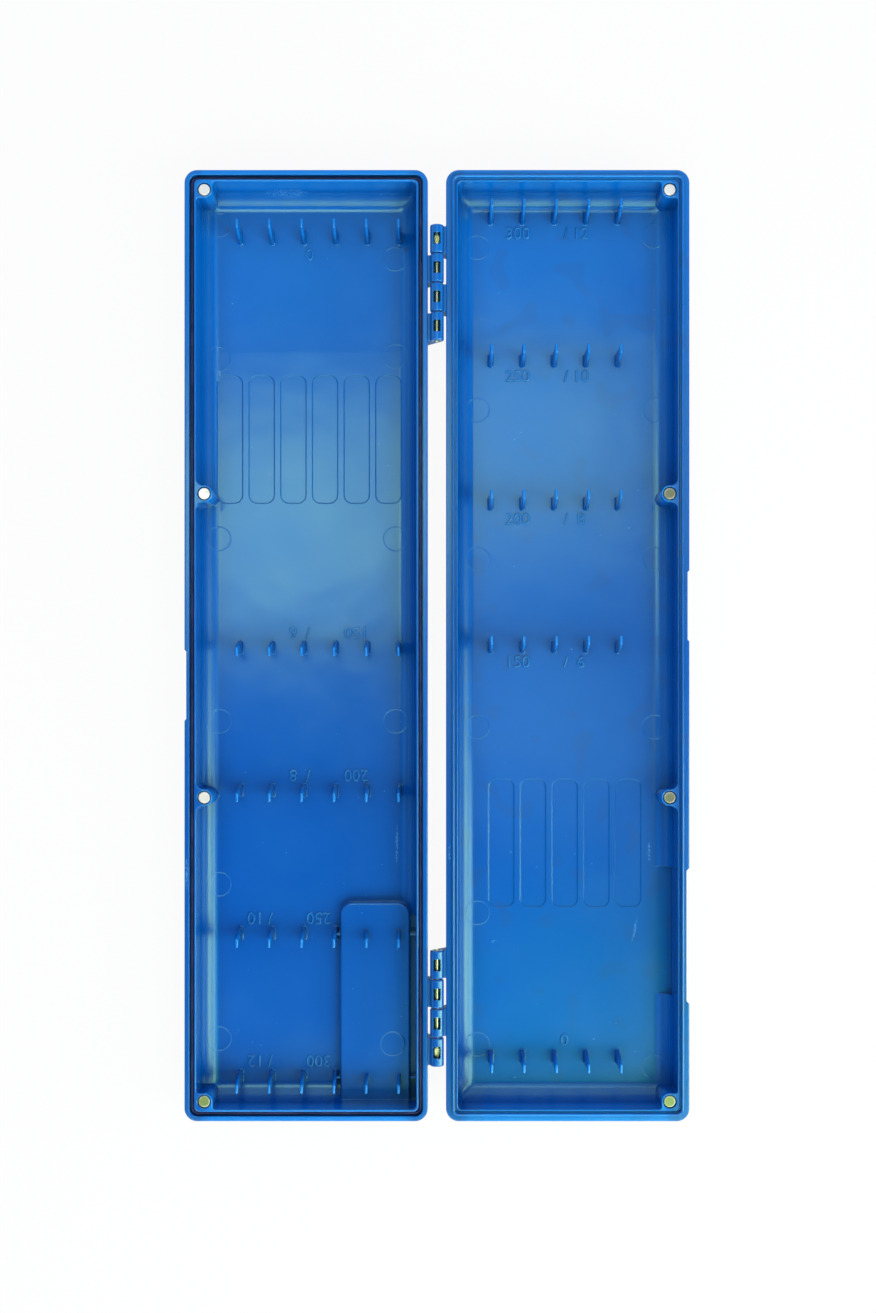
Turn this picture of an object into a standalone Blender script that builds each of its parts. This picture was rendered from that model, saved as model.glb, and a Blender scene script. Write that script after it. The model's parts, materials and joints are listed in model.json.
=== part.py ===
"""Fishing rig box: two long moulded trays on a side hinge, shown open flat.

Rows of tapered pegs stand in both trays. A rig of leader line is stretched
between the peg row at one end and the row that matches the rig's length.
The left tray is the base, the right tray is the lid. The lid folds over onto
the base about the hinge line, its tongue drops into the base's groove, and
four pairs of disc magnets hold the box shut.

Frame: the hinge line is the Y axis at rim height, the base lies at -X and the
lid at +X, and the undersides of both trays rest on Z = 0.
"""
import math

import bmesh
import bpy
from mathutils import Matrix, Vector

MM = 0.001

# Peg rows: the lengths of rig that the box holds, and the room at each end
LONGEST_RIG = 300 * MM
RIG_STEP = 50 * MM
RIG_ROWS = 4
HOOK_ROW_INSET = 15.5 * MM
LAST_ROW_INSET = 8.5 * MM

# Tray shell
TRAY_WIDTH = 82.9 * MM
TRAY_HEIGHT = 18 * MM
FLOOR = 2 * MM
FLOOR_FILLET = 6 * MM
BOTTOM_EDGE_RADIUS = 4 * MM
CORNER_RADIUS = 4.4 * MM
INNER_CORNER_RADIUS = 1.7 * MM
WALL_DRAFT = 0.22 * MM
EDGE_ROUND = 0.3 * MM
CLOSED_GAP = 0.3 * MM

# Rim: a grooved base rim with a rubber seal, and a lid rim with a tongue
LEDGE_WIDTH = 1.7 * MM
TONGUE_WIDTH = 0.9 * MM
TONGUE_HEIGHT = 1.3 * MM
TONGUE_CLEARANCE = 0.3 * MM
LIP_WIDTH = 0.8 * MM
LID_LIP_WIDTH = 0.6 * MM
LID_STEP = 0.3 * MM
SEAL_CLEARANCE = 0.3 * MM

# Pegs
BASE_COLUMNS = 6
LID_COLUMNS = 5
PEG_HINGE_MARGIN = 10.1 * MM
PEG_OUTER_MARGIN = 17.3 * MM
PEG_TIP_CLEARANCE = 3.5 * MM
PEG_LENGTH = 5.6 * MM
PEG_NIB = 1.2 * MM
PEG_THICKNESS = 1.5 * MM
PEG_ROOT = 1 * MM

# Magnets and their bosses
MAGNET_COUNT = 4
MAGNET_RADIUS = 2 * MM
MAGNET_LENGTH = 3 * MM
MAGNET_CHAMFER = 0.2 * MM
MAGNET_CLEARANCE = 0.3 * MM
MAGNET_SUNK = 0.3 * MM
MAGNET_INSET = 6.7 * MM
BOSS_WALL = 0.55 * MM
CORNER_BOSS_FILLET = 0.9 * MM
SIDE_BOSS_FILLET = 2.5 * MM

# Hinge: four knuckles a group, two on each tray, on a steel pin
KNUCKLE_COUNT = 4
KNUCKLE_PITCH = 9.9 * MM
KNUCKLE_GAP = 0.3 * MM
KNUCKLE_WALL = 1.3 * MM
KNUCKLE_ROUND = 0.5 * MM
KNUCKLE_SWING_GAP = 0.75 * MM
HINGE_CENTRE_INSET = 38.7 * MM
WEB_TOP_DROP = 0.4 * MM
WEB_SINK = 1 * MM
WEB_TANGENT_ANGLE = math.radians(40)
PIN_RADIUS = 0.75 * MM
PIN_PROUD = 0.3 * MM
PIN_CHAMFER = 0.2 * MM
KNURL_HEIGHT = 0.2 * MM
KNURL_CLEARANCE = 0.1 * MM
KNURL_LENGTH = 2.2 * MM
WINDOW_WIDTH = 2.4 * MM
WINDOW_LENGTH = 4 * MM
WINDOW_BELOW_PIN = 0.35 * MM

# Shallow strip recesses in both floors
STRIP_LENGTH = 45 * MM
STRIP_GAP = 2 * MM
STRIP_CORNER = 3 * MM
STRIP_DEPTH = 0.35 * MM
STRIP_COLUMN_OFFSET = 3.8 * MM
BASE_STRIP_CENTRE = 72.8 * MM
LID_STRIP_CENTRE = 68.6 * MM

# Raised platform in the base, cored from below, with a slot along the hinge wall
PLATFORM_HEIGHT = 4 * MM
PLATFORM_PEG_GAP = 1 * MM
PLATFORM_LEAD = 14.5 * MM
PLATFORM_CORNER = 4.3 * MM
PLATFORM_EDGE_ROUND = 0.8 * MM
PLATFORM_PEG_COLUMNS = 2
SLOT_WIDTH = 2 * MM
SLOT_FLOOR_RISE = 0.5 * MM
RIB_THICKNESS = 1 * MM
RIB_SETBACK = 3 * MM

# Outer wall: a thumb notch in each tray, and a long grip recess in the lid
THUMB_NOTCH_LENGTH = 23 * MM
THUMB_NOTCH_CENTRE = 13.5 * MM
THUMB_NOTCH_DEPTH = 0.65 * MM
THUMB_NOTCH_HEIGHT = 9 * MM
GRIP_LENGTH = 44.5 * MM
GRIP_CENTRE = 98.9 * MM
GRIP_DEPTH = 1 * MM
GRIP_HEIGHT = 13 * MM

# One overrun serves every cut and every buried end
OVERRUN = 0.6 * MM

# How finely the round forms are divided
CORNER_STEPS = 5
FILLET_STEPS = 5
EDGE_STEPS = 2
BOSS_STEPS = 8
BOSS_FILLET_STEPS = 3
KNUCKLE_STEPS = 14
BORE_SIDES = 16
TURNED_STEPS = 20
PIN_STEPS = 12
SEAL_BEVEL_RESOLUTION = 2
MERGE_DISTANCE = 0.001 * MM

# Sizes that follow from the ones above
TRAY_LENGTH = LONGEST_RIG + HOOK_ROW_INSET + LAST_ROW_INSET
HALF_LENGTH = TRAY_LENGTH / 2
RIM_Z = TRAY_HEIGHT - CLOSED_GAP / 2
GROOVE_WIDTH = TONGUE_WIDTH + 2 * TONGUE_CLEARANCE
SEAL_DIAMETER = GROOVE_WIDTH - 2 * SEAL_CLEARANCE
GROOVE_DEPTH = TONGUE_HEIGHT - CLOSED_GAP + SEAL_DIAMETER + 2 * SEAL_CLEARANCE
WALL = LEDGE_WIDTH + GROOVE_WIDTH + LIP_WIDTH
WALL_AT_FLOOR = WALL + WALL_DRAFT
LIP_SUNK = min(LIP_WIDTH, LID_LIP_WIDTH) / 2
BOSS_RADIUS = MAGNET_RADIUS + MAGNET_CLEARANCE + BOSS_WALL
MAGNET_TOP = RIM_Z - MAGNET_SUNK
KNURL_RADIUS = PIN_RADIUS + KNURL_HEIGHT
BORE_RADIUS = KNURL_RADIUS + KNURL_CLEARANCE
KNUCKLE_RADIUS = BORE_RADIUS + KNUCKLE_WALL
HINGE_SIDE = KNUCKLE_RADIUS + KNUCKLE_SWING_GAP
OUTER_SIDE = HINGE_SIDE + TRAY_WIDTH
TRAY_CENTRE = HINGE_SIDE + TRAY_WIDTH / 2
PEG_TIP_Z = TRAY_HEIGHT - PEG_TIP_CLEARANCE
FIRST_COLUMN = HINGE_SIDE + PEG_HINGE_MARGIN
LAST_COLUMN = OUTER_SIDE - PEG_OUTER_MARGIN
PEG_PITCH = (LAST_COLUMN - FIRST_COLUMN) / (BASE_COLUMNS - 1)
STRIP_WIDTH = PEG_PITCH - STRIP_GAP
HOOK_ROW = HALF_LENGTH - HOOK_ROW_INSET
RIG_ROW_PLACES = [HOOK_ROW - LONGEST_RIG + RIG_STEP * n for n in range(RIG_ROWS)]
PLATFORM_TOP = FLOOR + PLATFORM_HEIGHT
PLATFORM_NEAR = HINGE_SIDE + WALL_AT_FLOOR + SLOT_WIDTH
HINGE_CENTRES = (HALF_LENGTH - HINGE_CENTRE_INSET, HINGE_CENTRE_INSET - HALF_LENGTH)

BASE_SIDE = -1
LID_SIDE = 1

# A peg's sections from root to tip: share of its height, of the nib by which
# its front stands forward, of its length to its back, and of its thickness
PEG_SECTION_SHARES = (
    (0.0, 0.0, 1.0, 1.0),
    (0.42, 0.0, 0.91, 0.88),
    (0.72, 0.0, 0.76, 0.78),
    (0.86, 0.15, 0.66, 0.72),
    (0.95, 1.0, 0.57, 0.66),
    (1.0, 0.75, 0.45, 0.4),
)
# One section's outline: share of thickness across, and of the way front to back
PEG_OUTLINE_SHARES = (
    (-0.5, 0.0),
    (0.5, 0.0),
    (0.5, 0.8),
    (0.2, 1.0),
    (-0.2, 1.0),
    (-0.5, 0.8),
)


def start_clean():
    """Remove every object and give the part and its cutters a collection each."""
    for item in list(bpy.data.objects):
        bpy.data.objects.remove(item, do_unlink=True)
    collections = []
    for title in ("fishing_rig_box", "cutters"):
        collection = bpy.data.collections.new(title)
        bpy.context.scene.collection.children.link(collection)
        collections.append(collection)
    return collections


PARTS, CUTTERS = start_clean()


def make_material(name, colour, roughness, metallic=0.0):
    """A Principled BSDF of one colour (linear values)."""
    material = bpy.data.materials.new(name)
    material.use_nodes = True
    shader = material.node_tree.nodes["Principled BSDF"]
    shader.inputs["Base Color"].default_value = (*colour, 1.0)
    shader.inputs["Roughness"].default_value = roughness
    shader.inputs["Metallic"].default_value = metallic
    material.diffuse_color = (*colour, 1.0)
    return material


BLUE_PLASTIC = make_material("blue_plastic", (0.005, 0.122, 0.604), 0.32)
GREY_RUBBER = make_material("grey_rubber", (0.105, 0.1, 0.16), 0.6)
PIN_STEEL = make_material("pin_steel", (0.56, 0.56, 0.52), 0.3, 1.0)
NICKEL = make_material("nickel", (0.66, 0.64, 0.57), 0.22, 1.0)


def make_lid_axis():
    """An empty on the hinge line: turning it about Y folds the lid over the base."""
    axis = bpy.data.objects.new("lid_hinge_axis", None)
    axis.empty_display_type = "SINGLE_ARROW"
    axis.empty_display_size = TRAY_HEIGHT
    axis.location = (0, 0, TRAY_HEIGHT)
    PARTS.objects.link(axis)
    return axis


LID_AXIS = make_lid_axis()


def new_object(name, data, side, material=None):
    """Link a part when a material is given, and a cutter when not.

    What belongs to the lid is carried by the empty on the hinge line."""
    item = bpy.data.objects.new(name, data)
    if side == LID_SIDE:
        item.parent = LID_AXIS
        item.matrix_parent_inverse = Matrix.Translation(-LID_AXIS.location)
    if material:
        data.materials.append(material)
        PARTS.objects.link(item)
        return item
    CUTTERS.objects.link(item)
    item.hide_render = True
    item.display_type = "WIRE"
    return item


def combine(target, tool, operation):
    """Join or cut a part with a tool object by an exact Boolean modifier."""
    modifier = target.modifiers.new(tool.name, "BOOLEAN")
    modifier.operation = operation
    modifier.object = tool
    modifier.solver = "EXACT"


def place(side, u, v, z):
    """World point of tray coordinates: u runs out from the hinge line and v
    towards the tray's hook row, so the lid is the base turned half round."""
    return Vector((side * u, -side * v, z))


def arc(centre_u, centre_v, radius, start, end, steps):
    """Points of a circular arc between two angles, both ends included."""
    angles = [start + (end - start) * n / steps for n in range(steps + 1)]
    return [(centre_u + radius * math.cos(a), centre_v + radius * math.sin(a)) for a in angles]


def rounded_rectangle(centre_u, centre_v, half_u, half_v, radius, steps):
    """Corner arcs of a rectangle, counter-clockwise in tray coordinates."""
    points = []
    for quarter, (sign_u, sign_v) in enumerate(((1, 1), (-1, 1), (-1, -1), (1, -1))):
        corner_u = centre_u + sign_u * (half_u - radius)
        corner_v = centre_v + sign_v * (half_v - radius)
        start = quarter * math.pi / 2
        points += arc(corner_u, corner_v, radius, start, start + math.pi / 2, steps)
    return points


def skin(mesh_data, rings):
    """Add a closed body through rings of equal point counts, capped at both ends."""
    loops = [[mesh_data.verts.new(point) for point in ring] for ring in rings]
    for lower, upper in zip(loops, loops[1:]):
        for n, vertex in enumerate(lower):
            following = (n + 1) % len(lower)
            mesh_data.faces.new((vertex, lower[following], upper[following], upper[n]))
    mesh_data.faces.new(reversed(loops[0]))
    mesh_data.faces.new(loops[-1])


def prism(mesh_data, side, outline, bottom, top):
    """Add an upright prism over an outline in tray coordinates."""
    skin(mesh_data, [[place(side, u, v, z) for u, v in outline] for z in (bottom, top)])


def finish_mesh(name, mesh_data):
    """Turn every face outwards and return the mesh."""
    bmesh.ops.recalc_face_normals(mesh_data, faces=mesh_data.faces)
    mesh = bpy.data.meshes.new(name)
    mesh_data.to_mesh(mesh)
    mesh_data.free()
    return mesh


def box_outline(low_u, high_u, low_v, high_v):
    """The four corners of a rectangle in tray coordinates."""
    return [(low_u, low_v), (high_u, low_v), (high_u, high_v), (low_u, high_v)]


def fillet_profile(inset, low, radius):
    """A quarter round in a wall section, as inset and height, from the level
    face at height low up to the upright face at the inset."""
    angles = [math.pi / 2 * n / FILLET_STEPS for n in range(FILLET_STEPS + 1)]
    return [(inset + radius * (1 - math.sin(a)), low + radius * (1 - math.cos(a))) for a in angles]


def base_rim_profile():
    """Ledge, seal groove and inner lip of the base, from outside to inside."""
    groove_inner = LEDGE_WIDTH + GROOVE_WIDTH
    groove_bottom = RIM_Z - GROOVE_DEPTH
    return [
        (LEDGE_WIDTH, RIM_Z),
        (LEDGE_WIDTH, groove_bottom),
        (groove_inner, groove_bottom),
        (groove_inner, RIM_Z),
    ]


def lid_rim_profile():
    """Ledge, tongue, low step and inner lip of the lid, from outside to inside."""
    tongue_outer = LEDGE_WIDTH + TONGUE_CLEARANCE
    tongue_inner = tongue_outer + TONGUE_WIDTH
    tongue_top = RIM_Z + TONGUE_HEIGHT
    lip_outer = WALL - LID_LIP_WIDTH
    crown = TONGUE_WIDTH / 4
    return [
        (tongue_outer, RIM_Z),
        (tongue_outer, tongue_top - crown),
        (tongue_outer + crown, tongue_top),
        (tongue_inner - crown, tongue_top),
        (tongue_inner, tongue_top - crown),
        (tongue_inner, RIM_Z - LID_STEP),
        (lip_outer, RIM_Z - LID_STEP),
        (lip_outer, RIM_Z),
    ]


def tray_shell(name, side, rim_profile):
    """The bare tray: its wall section carried round a rounded rectangle."""
    section = fillet_profile(WALL_DRAFT, 0, BOTTOM_EDGE_RADIUS)
    section += [(0, RIM_Z - EDGE_ROUND), (EDGE_ROUND, RIM_Z)]
    section += rim_profile
    section += [(WALL - EDGE_ROUND, RIM_Z), (WALL, RIM_Z - EDGE_ROUND)]
    section += reversed(fillet_profile(WALL_AT_FLOOR, FLOOR, FLOOR_FILLET))
    rings = []
    for inset, height in section:
        radius = max(CORNER_RADIUS - inset, INNER_CORNER_RADIUS)
        outline = rounded_rectangle(TRAY_CENTRE, 0, TRAY_WIDTH / 2 - inset,
                                    HALF_LENGTH - inset, radius, CORNER_STEPS)
        rings.append([place(side, u, v, height) for u, v in outline])
    mesh_data = bmesh.new()
    skin(mesh_data, rings)
    return new_object(name, finish_mesh(name, mesh_data), side, BLUE_PLASTIC)


def peg_columns(side):
    """Distances of a tray's peg columns from the hinge line.

    The lid's pegs stand midway between the base's when the box is shut."""
    if side == BASE_SIDE:
        return [FIRST_COLUMN + PEG_PITCH * n for n in range(BASE_COLUMNS)]
    return [FIRST_COLUMN + PEG_PITCH * (n + 0.5) for n in range(LID_COLUMNS)]


def add_peg(mesh_data, side, u, front, back_direction):
    """One tapered blade: a rounded sloping back, and an upright front with a nib
    at the tip that keeps a loop of line from slipping off."""
    rings = []
    root_section = (-PEG_ROOT / (PEG_TIP_Z - FLOOR), *PEG_SECTION_SHARES[0][1:])
    for height_share, nib_share, back_share, thickness_share in (root_section, *PEG_SECTION_SHARES):
        height = FLOOR + height_share * (PEG_TIP_Z - FLOOR)
        face = PEG_NIB * (1 - nib_share)
        length = PEG_LENGTH * back_share - face
        thickness = PEG_THICKNESS * thickness_share
        rings.append([place(side, u + across_share * thickness,
                            front + back_direction * (face + along_share * length), height)
                      for across_share, along_share in PEG_OUTLINE_SHARES])
    skin(mesh_data, rings)


def peg_rows(name, side):
    """Every peg of a tray: the hook row and one row for each rig length."""
    mesh_data = bmesh.new()
    for u in peg_columns(side):
        add_peg(mesh_data, side, u, HOOK_ROW, -1)
        for front in RIG_ROW_PLACES:
            add_peg(mesh_data, side, u, front, 1)
    return new_object(name, finish_mesh(name, mesh_data), side)


def corner_boss_outline():
    """Magnet boss in a corner, as insets from the tray's two outer faces.

    It is sunk into the lip, whose rounded corner it follows."""
    buried = WALL - LIP_SUNK
    turn = buried + INNER_CORNER_RADIUS
    reach = MAGNET_INSET + BOSS_RADIUS
    fillet = CORNER_BOSS_FILLET
    points = arc(turn, turn, INNER_CORNER_RADIUS, 1.5 * math.pi, math.pi, BOSS_FILLET_STEPS)
    points.append((buried, reach + fillet))
    points += arc(WALL + fillet, reach + fillet, fillet, math.pi, 1.5 * math.pi, BOSS_FILLET_STEPS)
    points += arc(MAGNET_INSET, MAGNET_INSET, BOSS_RADIUS, math.pi / 2, 0, BOSS_STEPS)
    points += arc(reach + fillet, WALL + fillet, fillet, math.pi, 1.5 * math.pi, BOSS_FILLET_STEPS)
    points.append((reach + fillet, buried))
    return points


def side_boss_outline():
    """Magnet boss on the long wall, as inset from the outer face and place along it.

    Concave fillets run tangent from the wall into the round boss."""
    buried = WALL - LIP_SUNK
    fillet = SIDE_BOSS_FILLET
    rise = MAGNET_INSET - WALL - fillet
    spread = math.sqrt((BOSS_RADIUS + fillet) ** 2 - rise ** 2)
    meeting = math.atan2(-spread, rise)
    first = arc(WALL + fillet, spread, fillet, math.pi, meeting + 2 * math.pi, BOSS_FILLET_STEPS)
    crown = arc(MAGNET_INSET, 0, BOSS_RADIUS, meeting + math.pi, -meeting - math.pi, 2 * BOSS_STEPS)
    second = [(u, -v) for u, v in reversed(first)]
    return [(buried, spread), *first, *crown[1:-1], *second, (buried, -spread)]


def magnet_places():
    """Tray coordinates of the magnets, evenly spaced along the outer wall."""
    u = OUTER_SIDE - MAGNET_INSET
    end = HALF_LENGTH - MAGNET_INSET
    return [(u, end - 2 * end * n / (MAGNET_COUNT - 1)) for n in range(MAGNET_COUNT)]


def magnet_bosses(name, side):
    """Two corner bosses and two side bosses, from the floor to the rim."""
    mesh_data = bmesh.new()
    bottom = FLOOR - OVERRUN
    for end in (1, -1):
        corner = [(OUTER_SIDE - u, end * (HALF_LENGTH - v)) for u, v in corner_boss_outline()]
        prism(mesh_data, side, corner, bottom, RIM_Z)
    for u, v in magnet_places()[1:-1]:
        prism(mesh_data, side, [(OUTER_SIDE - inset, v + along) for inset, along in side_boss_outline()],
              bottom, RIM_Z)
    return new_object(name, finish_mesh(name, mesh_data), side)


def magnet_pockets(name, side):
    """Round blind holes for the magnets."""
    depth = MAGNET_SUNK + MAGNET_LENGTH + MAGNET_CLEARANCE
    mesh_data = bmesh.new()
    for u, v in magnet_places():
        centre = place(side, u, v, RIM_Z - depth / 2 + OVERRUN / 2)
        bmesh.ops.create_cone(mesh_data, cap_ends=True, segments=TURNED_STEPS,
                              radius1=MAGNET_RADIUS + MAGNET_CLEARANCE,
                              radius2=MAGNET_RADIUS + MAGNET_CLEARANCE,
                              depth=depth + OVERRUN, matrix=Matrix.Translation(centre))
    return new_object(name, finish_mesh(name, mesh_data), side)


def knuckle_outline():
    """Barrel and web of one knuckle, seen along the pin, relative to the pin.

    The first value runs from the pin towards the knuckle's own tray."""
    reach = HINGE_SIDE + WEB_SINK
    shoulder = math.asin(WEB_TOP_DROP / KNUCKLE_RADIUS)
    tangent = math.pi + WEB_TANGENT_ANGLE
    barrel = arc(0, 0, KNUCKLE_RADIUS, -shoulder, tangent, KNUCKLE_STEPS)
    run = reach + KNUCKLE_RADIUS * math.cos(WEB_TANGENT_ANGLE)
    drop = run / math.tan(WEB_TANGENT_ANGLE)
    foot = -KNUCKLE_RADIUS * math.sin(WEB_TANGENT_ANGLE) - drop
    return [(reach, -WEB_TOP_DROP), *barrel, (reach, foot)]


def knuckle_centres(side):
    """Places along the hinge of a tray's knuckles, in tray coordinates.

    Seen from its own hook end, each tray has the second and the fourth knuckle."""
    first = (KNUCKLE_COUNT - 1) / 2 * KNUCKLE_PITCH
    return [centre + first - KNUCKLE_PITCH * n
            for centre in HINGE_CENTRES for n in range(1, KNUCKLE_COUNT, 2)]


def hinge_knuckles(name, side):
    """Knuckles with rounded ends and a web that runs down into the wall."""
    mesh_data = bmesh.new()
    half = (KNUCKLE_PITCH - KNUCKLE_GAP) / 2
    ends = []
    for centre in knuckle_centres(side):
        rings = [[place(side, u, v, TRAY_HEIGHT + rise) for u, rise in knuckle_outline()]
                 for v in (centre - half, centre + half)]
        known = set(mesh_data.faces)
        skin(mesh_data, rings)
        ends += [face for face in mesh_data.faces if face not in known and len(face.verts) > 4]
    edges = list({edge for face in ends for edge in face.edges})
    bmesh.ops.recalc_face_normals(mesh_data, faces=mesh_data.faces)
    bmesh.ops.bevel(mesh_data, geom=edges, offset=KNUCKLE_ROUND, offset_type="OFFSET",
                    segments=EDGE_STEPS, profile=0.5, affect="EDGES")
    return new_object(name, finish_mesh(name, mesh_data), side)


def pin_bores(name, side):
    """The pin's way through each hinge group, clear of its knurled end."""
    mesh_data = bmesh.new()
    length = KNUCKLE_COUNT * KNUCKLE_PITCH + 2 * OVERRUN
    along_y = Matrix.Rotation(math.pi / 2, 4, "X")
    for centre in HINGE_CENTRES:
        matrix = Matrix.Translation(place(side, 0, centre, TRAY_HEIGHT)) @ along_y
        bmesh.ops.create_cone(mesh_data, cap_ends=True, segments=BORE_SIDES, radius1=BORE_RADIUS,
                              radius2=BORE_RADIUS, depth=length, matrix=matrix)
    return new_object(name, finish_mesh(name, mesh_data), side)


def knuckle_windows(name, side):
    """Openings on top of the knuckles that show the pin."""
    mesh_data = bmesh.new()
    low = TRAY_HEIGHT - PIN_RADIUS - WINDOW_BELOW_PIN
    high = TRAY_HEIGHT + KNUCKLE_RADIUS + OVERRUN
    for centre in knuckle_centres(side):
        outline = box_outline(-WINDOW_WIDTH / 2, WINDOW_WIDTH / 2,
                              centre - WINDOW_LENGTH / 2, centre + WINDOW_LENGTH / 2)
        prism(mesh_data, side, outline, low, high)
    return new_object(name, finish_mesh(name, mesh_data), side)


def strip_recesses(name, side, centre):
    """Shallow round-cornered strips sunk in the floor, one beside each column."""
    mesh_data = bmesh.new()
    for column in peg_columns(side):
        outline = rounded_rectangle(column + STRIP_COLUMN_OFFSET, centre, STRIP_WIDTH / 2,
                                    STRIP_LENGTH / 2, STRIP_CORNER, CORNER_STEPS - 1)
        prism(mesh_data, side, outline, FLOOR - STRIP_DEPTH, FLOOR + OVERRUN)
    return new_object(name, finish_mesh(name, mesh_data), side)


def notch_outline(centre, length, depth):
    """A shallow cut into the outer wall with its ends sloped at 45 degrees."""
    outside = OUTER_SIDE + OVERRUN
    inside = OUTER_SIDE - depth
    slope = depth + OVERRUN
    half = length / 2
    return [(inside, centre - half), (outside, centre - half - slope),
            (outside, centre + half + slope), (inside, centre + half)]


def outer_notches(name, side):
    """The thumb notch, and on the lid the long grip recess beside it."""
    mesh_data = bmesh.new()
    top = RIM_Z + OVERRUN
    thumb = notch_outline(-THUMB_NOTCH_CENTRE, THUMB_NOTCH_LENGTH, THUMB_NOTCH_DEPTH)
    prism(mesh_data, side, thumb, TRAY_HEIGHT - THUMB_NOTCH_HEIGHT, top)
    if side == LID_SIDE:
        grip = notch_outline(GRIP_CENTRE, GRIP_LENGTH, GRIP_DEPTH)
        prism(mesh_data, side, grip, TRAY_HEIGHT - GRIP_HEIGHT, top)
    return new_object(name, finish_mesh(name, mesh_data), side)


def grip_corner(name, side):
    """Behind the grip recess the lid's floor meets its wall without a fillet."""
    mesh_data = bmesh.new()
    wall_face = OUTER_SIDE - WALL_AT_FLOOR
    outline = box_outline(wall_face - FLOOR_FILLET - OVERRUN, wall_face,
                          GRIP_CENTRE - GRIP_LENGTH / 2, GRIP_CENTRE + GRIP_LENGTH / 2)
    prism(mesh_data, side, outline, FLOOR, FLOOR + FLOOR_FILLET)
    return new_object(name, finish_mesh(name, mesh_data), side)


def platform_outline(margin):
    """The platform's outline, drawn in by a margin; its far end meets the end wall."""
    far = peg_columns(BASE_SIDE)[PLATFORM_PEG_COLUMNS] - PEG_THICKNESS / 2 - PLATFORM_PEG_GAP
    lead = RIG_ROW_PLACES[1] + PLATFORM_LEAD
    near_u = PLATFORM_NEAR + margin
    far_u = far - margin
    top_v = lead - margin
    end_v = WALL - HALF_LENGTH - OVERRUN
    radius = PLATFORM_CORNER - margin
    points = [(near_u, end_v), (far_u, end_v)]
    points += arc(far_u - radius, top_v - radius, radius, 0, math.pi / 2, CORNER_STEPS)
    points += arc(near_u + radius, top_v - radius, radius, math.pi / 2, math.pi, CORNER_STEPS)
    return points


def platform_block(name, side):
    """The raised platform with its rounded top edge."""
    levels = [(0, FLOOR - OVERRUN)]
    for n in range(EDGE_STEPS + 1):
        angle = math.pi / 2 * n / EDGE_STEPS
        levels.append((PLATFORM_EDGE_ROUND * (1 - math.cos(angle)),
                       PLATFORM_TOP - PLATFORM_EDGE_ROUND * (1 - math.sin(angle))))
    rings = [[place(side, u, v, height) for u, v in platform_outline(margin)]
             for margin, height in levels]
    mesh_data = bmesh.new()
    skin(mesh_data, rings)
    return new_object(name, finish_mesh(name, mesh_data), side)


def platform_slot(name, side):
    """The narrow slot between the platform and the hinge-side wall."""
    mesh_data = bmesh.new()
    lead = RIG_ROW_PLACES[1] + PLATFORM_LEAD - PLATFORM_CORNER
    outline = box_outline(HINGE_SIDE + WALL_AT_FLOOR, PLATFORM_NEAR,
                          WALL_AT_FLOOR - HALF_LENGTH, lead)
    prism(mesh_data, side, outline, FLOOR + SLOT_FLOOR_RISE, FLOOR + FLOOR_FILLET)
    return new_object(name, finish_mesh(name, mesh_data), side)


def platform_ribs(name, side):
    """Ribs across the slot, and webs that tie the peg beside the platform to it."""
    mesh_data = bmesh.new()
    far = platform_outline(0)[1][0]
    peg = peg_columns(BASE_SIDE)[PLATFORM_PEG_COLUMNS]
    low = FLOOR - OVERRUN / 2
    high = PLATFORM_TOP - PLATFORM_EDGE_ROUND
    for front in RIG_ROW_PLACES[:2]:
        rib = front + RIB_SETBACK
        spans = ((HINGE_SIDE + WALL - OVERRUN, PLATFORM_NEAR + OVERRUN), (far - OVERRUN, peg))
        for low_u, high_u in spans:
            outline = box_outline(low_u, high_u, rib, rib + RIB_THICKNESS)
            prism(mesh_data, side, outline, low, high)
    return new_object(name, finish_mesh(name, mesh_data), side)


def platform_core(name, side):
    """The hollow under the platform, which keeps its wall as thick as the floor."""
    mesh_data = bmesh.new()
    outline = [(u, max(v, FLOOR + WALL - HALF_LENGTH)) for u, v in platform_outline(FLOOR)]
    prism(mesh_data, side, outline, -OVERRUN, PLATFORM_TOP - FLOOR)
    return new_object(name, finish_mesh(name, mesh_data), side)


def make_tray(name, side, rim_profile, strip_centre):
    """A complete tray: shell, bosses, pegs and knuckles, then every cut."""
    tray = tray_shell(name, side, rim_profile)
    if side == BASE_SIDE:
        combine(tray, platform_block("platform_block", side), "UNION")
        combine(tray, platform_slot("platform_slot", side), "DIFFERENCE")
        combine(tray, platform_ribs("platform_ribs", side), "UNION")
    else:
        combine(tray, grip_corner("grip_corner", side), "DIFFERENCE")
    combine(tray, magnet_bosses(name + "_bosses", side), "UNION")
    combine(tray, peg_rows(name + "_pegs", side), "UNION")
    combine(tray, hinge_knuckles(name + "_knuckles", side), "UNION")
    combine(tray, pin_bores(name + "_bores", side), "DIFFERENCE")
    combine(tray, knuckle_windows(name + "_windows", side), "DIFFERENCE")
    combine(tray, magnet_pockets(name + "_magnet_pockets", side), "DIFFERENCE")
    combine(tray, strip_recesses(name + "_strips", side, strip_centre), "DIFFERENCE")
    combine(tray, outer_notches(name + "_notches", side), "DIFFERENCE")
    if side == BASE_SIDE:
        combine(tray, platform_core("platform_core", side), "DIFFERENCE")
    return tray


def turned(name, side, profile, location, rotation, steps, material):
    """A turned piece: a profile from top to bottom with a Screw modifier round Z."""
    mesh = bpy.data.meshes.new(name)
    points = [(radius, 0, height) for radius, height in profile]
    mesh.from_pydata(points, [(n, n + 1) for n in range(len(points) - 1)], [])
    item = new_object(name, mesh, side, material)
    item.location = location
    item.rotation_euler = rotation
    screw = item.modifiers.new("turn", "SCREW")
    screw.axis = "Z"
    screw.steps = steps
    screw.render_steps = steps
    screw.use_merge_vertices = True
    screw.merge_threshold = MERGE_DISTANCE
    screw.use_smooth_shade = True
    return item


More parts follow.
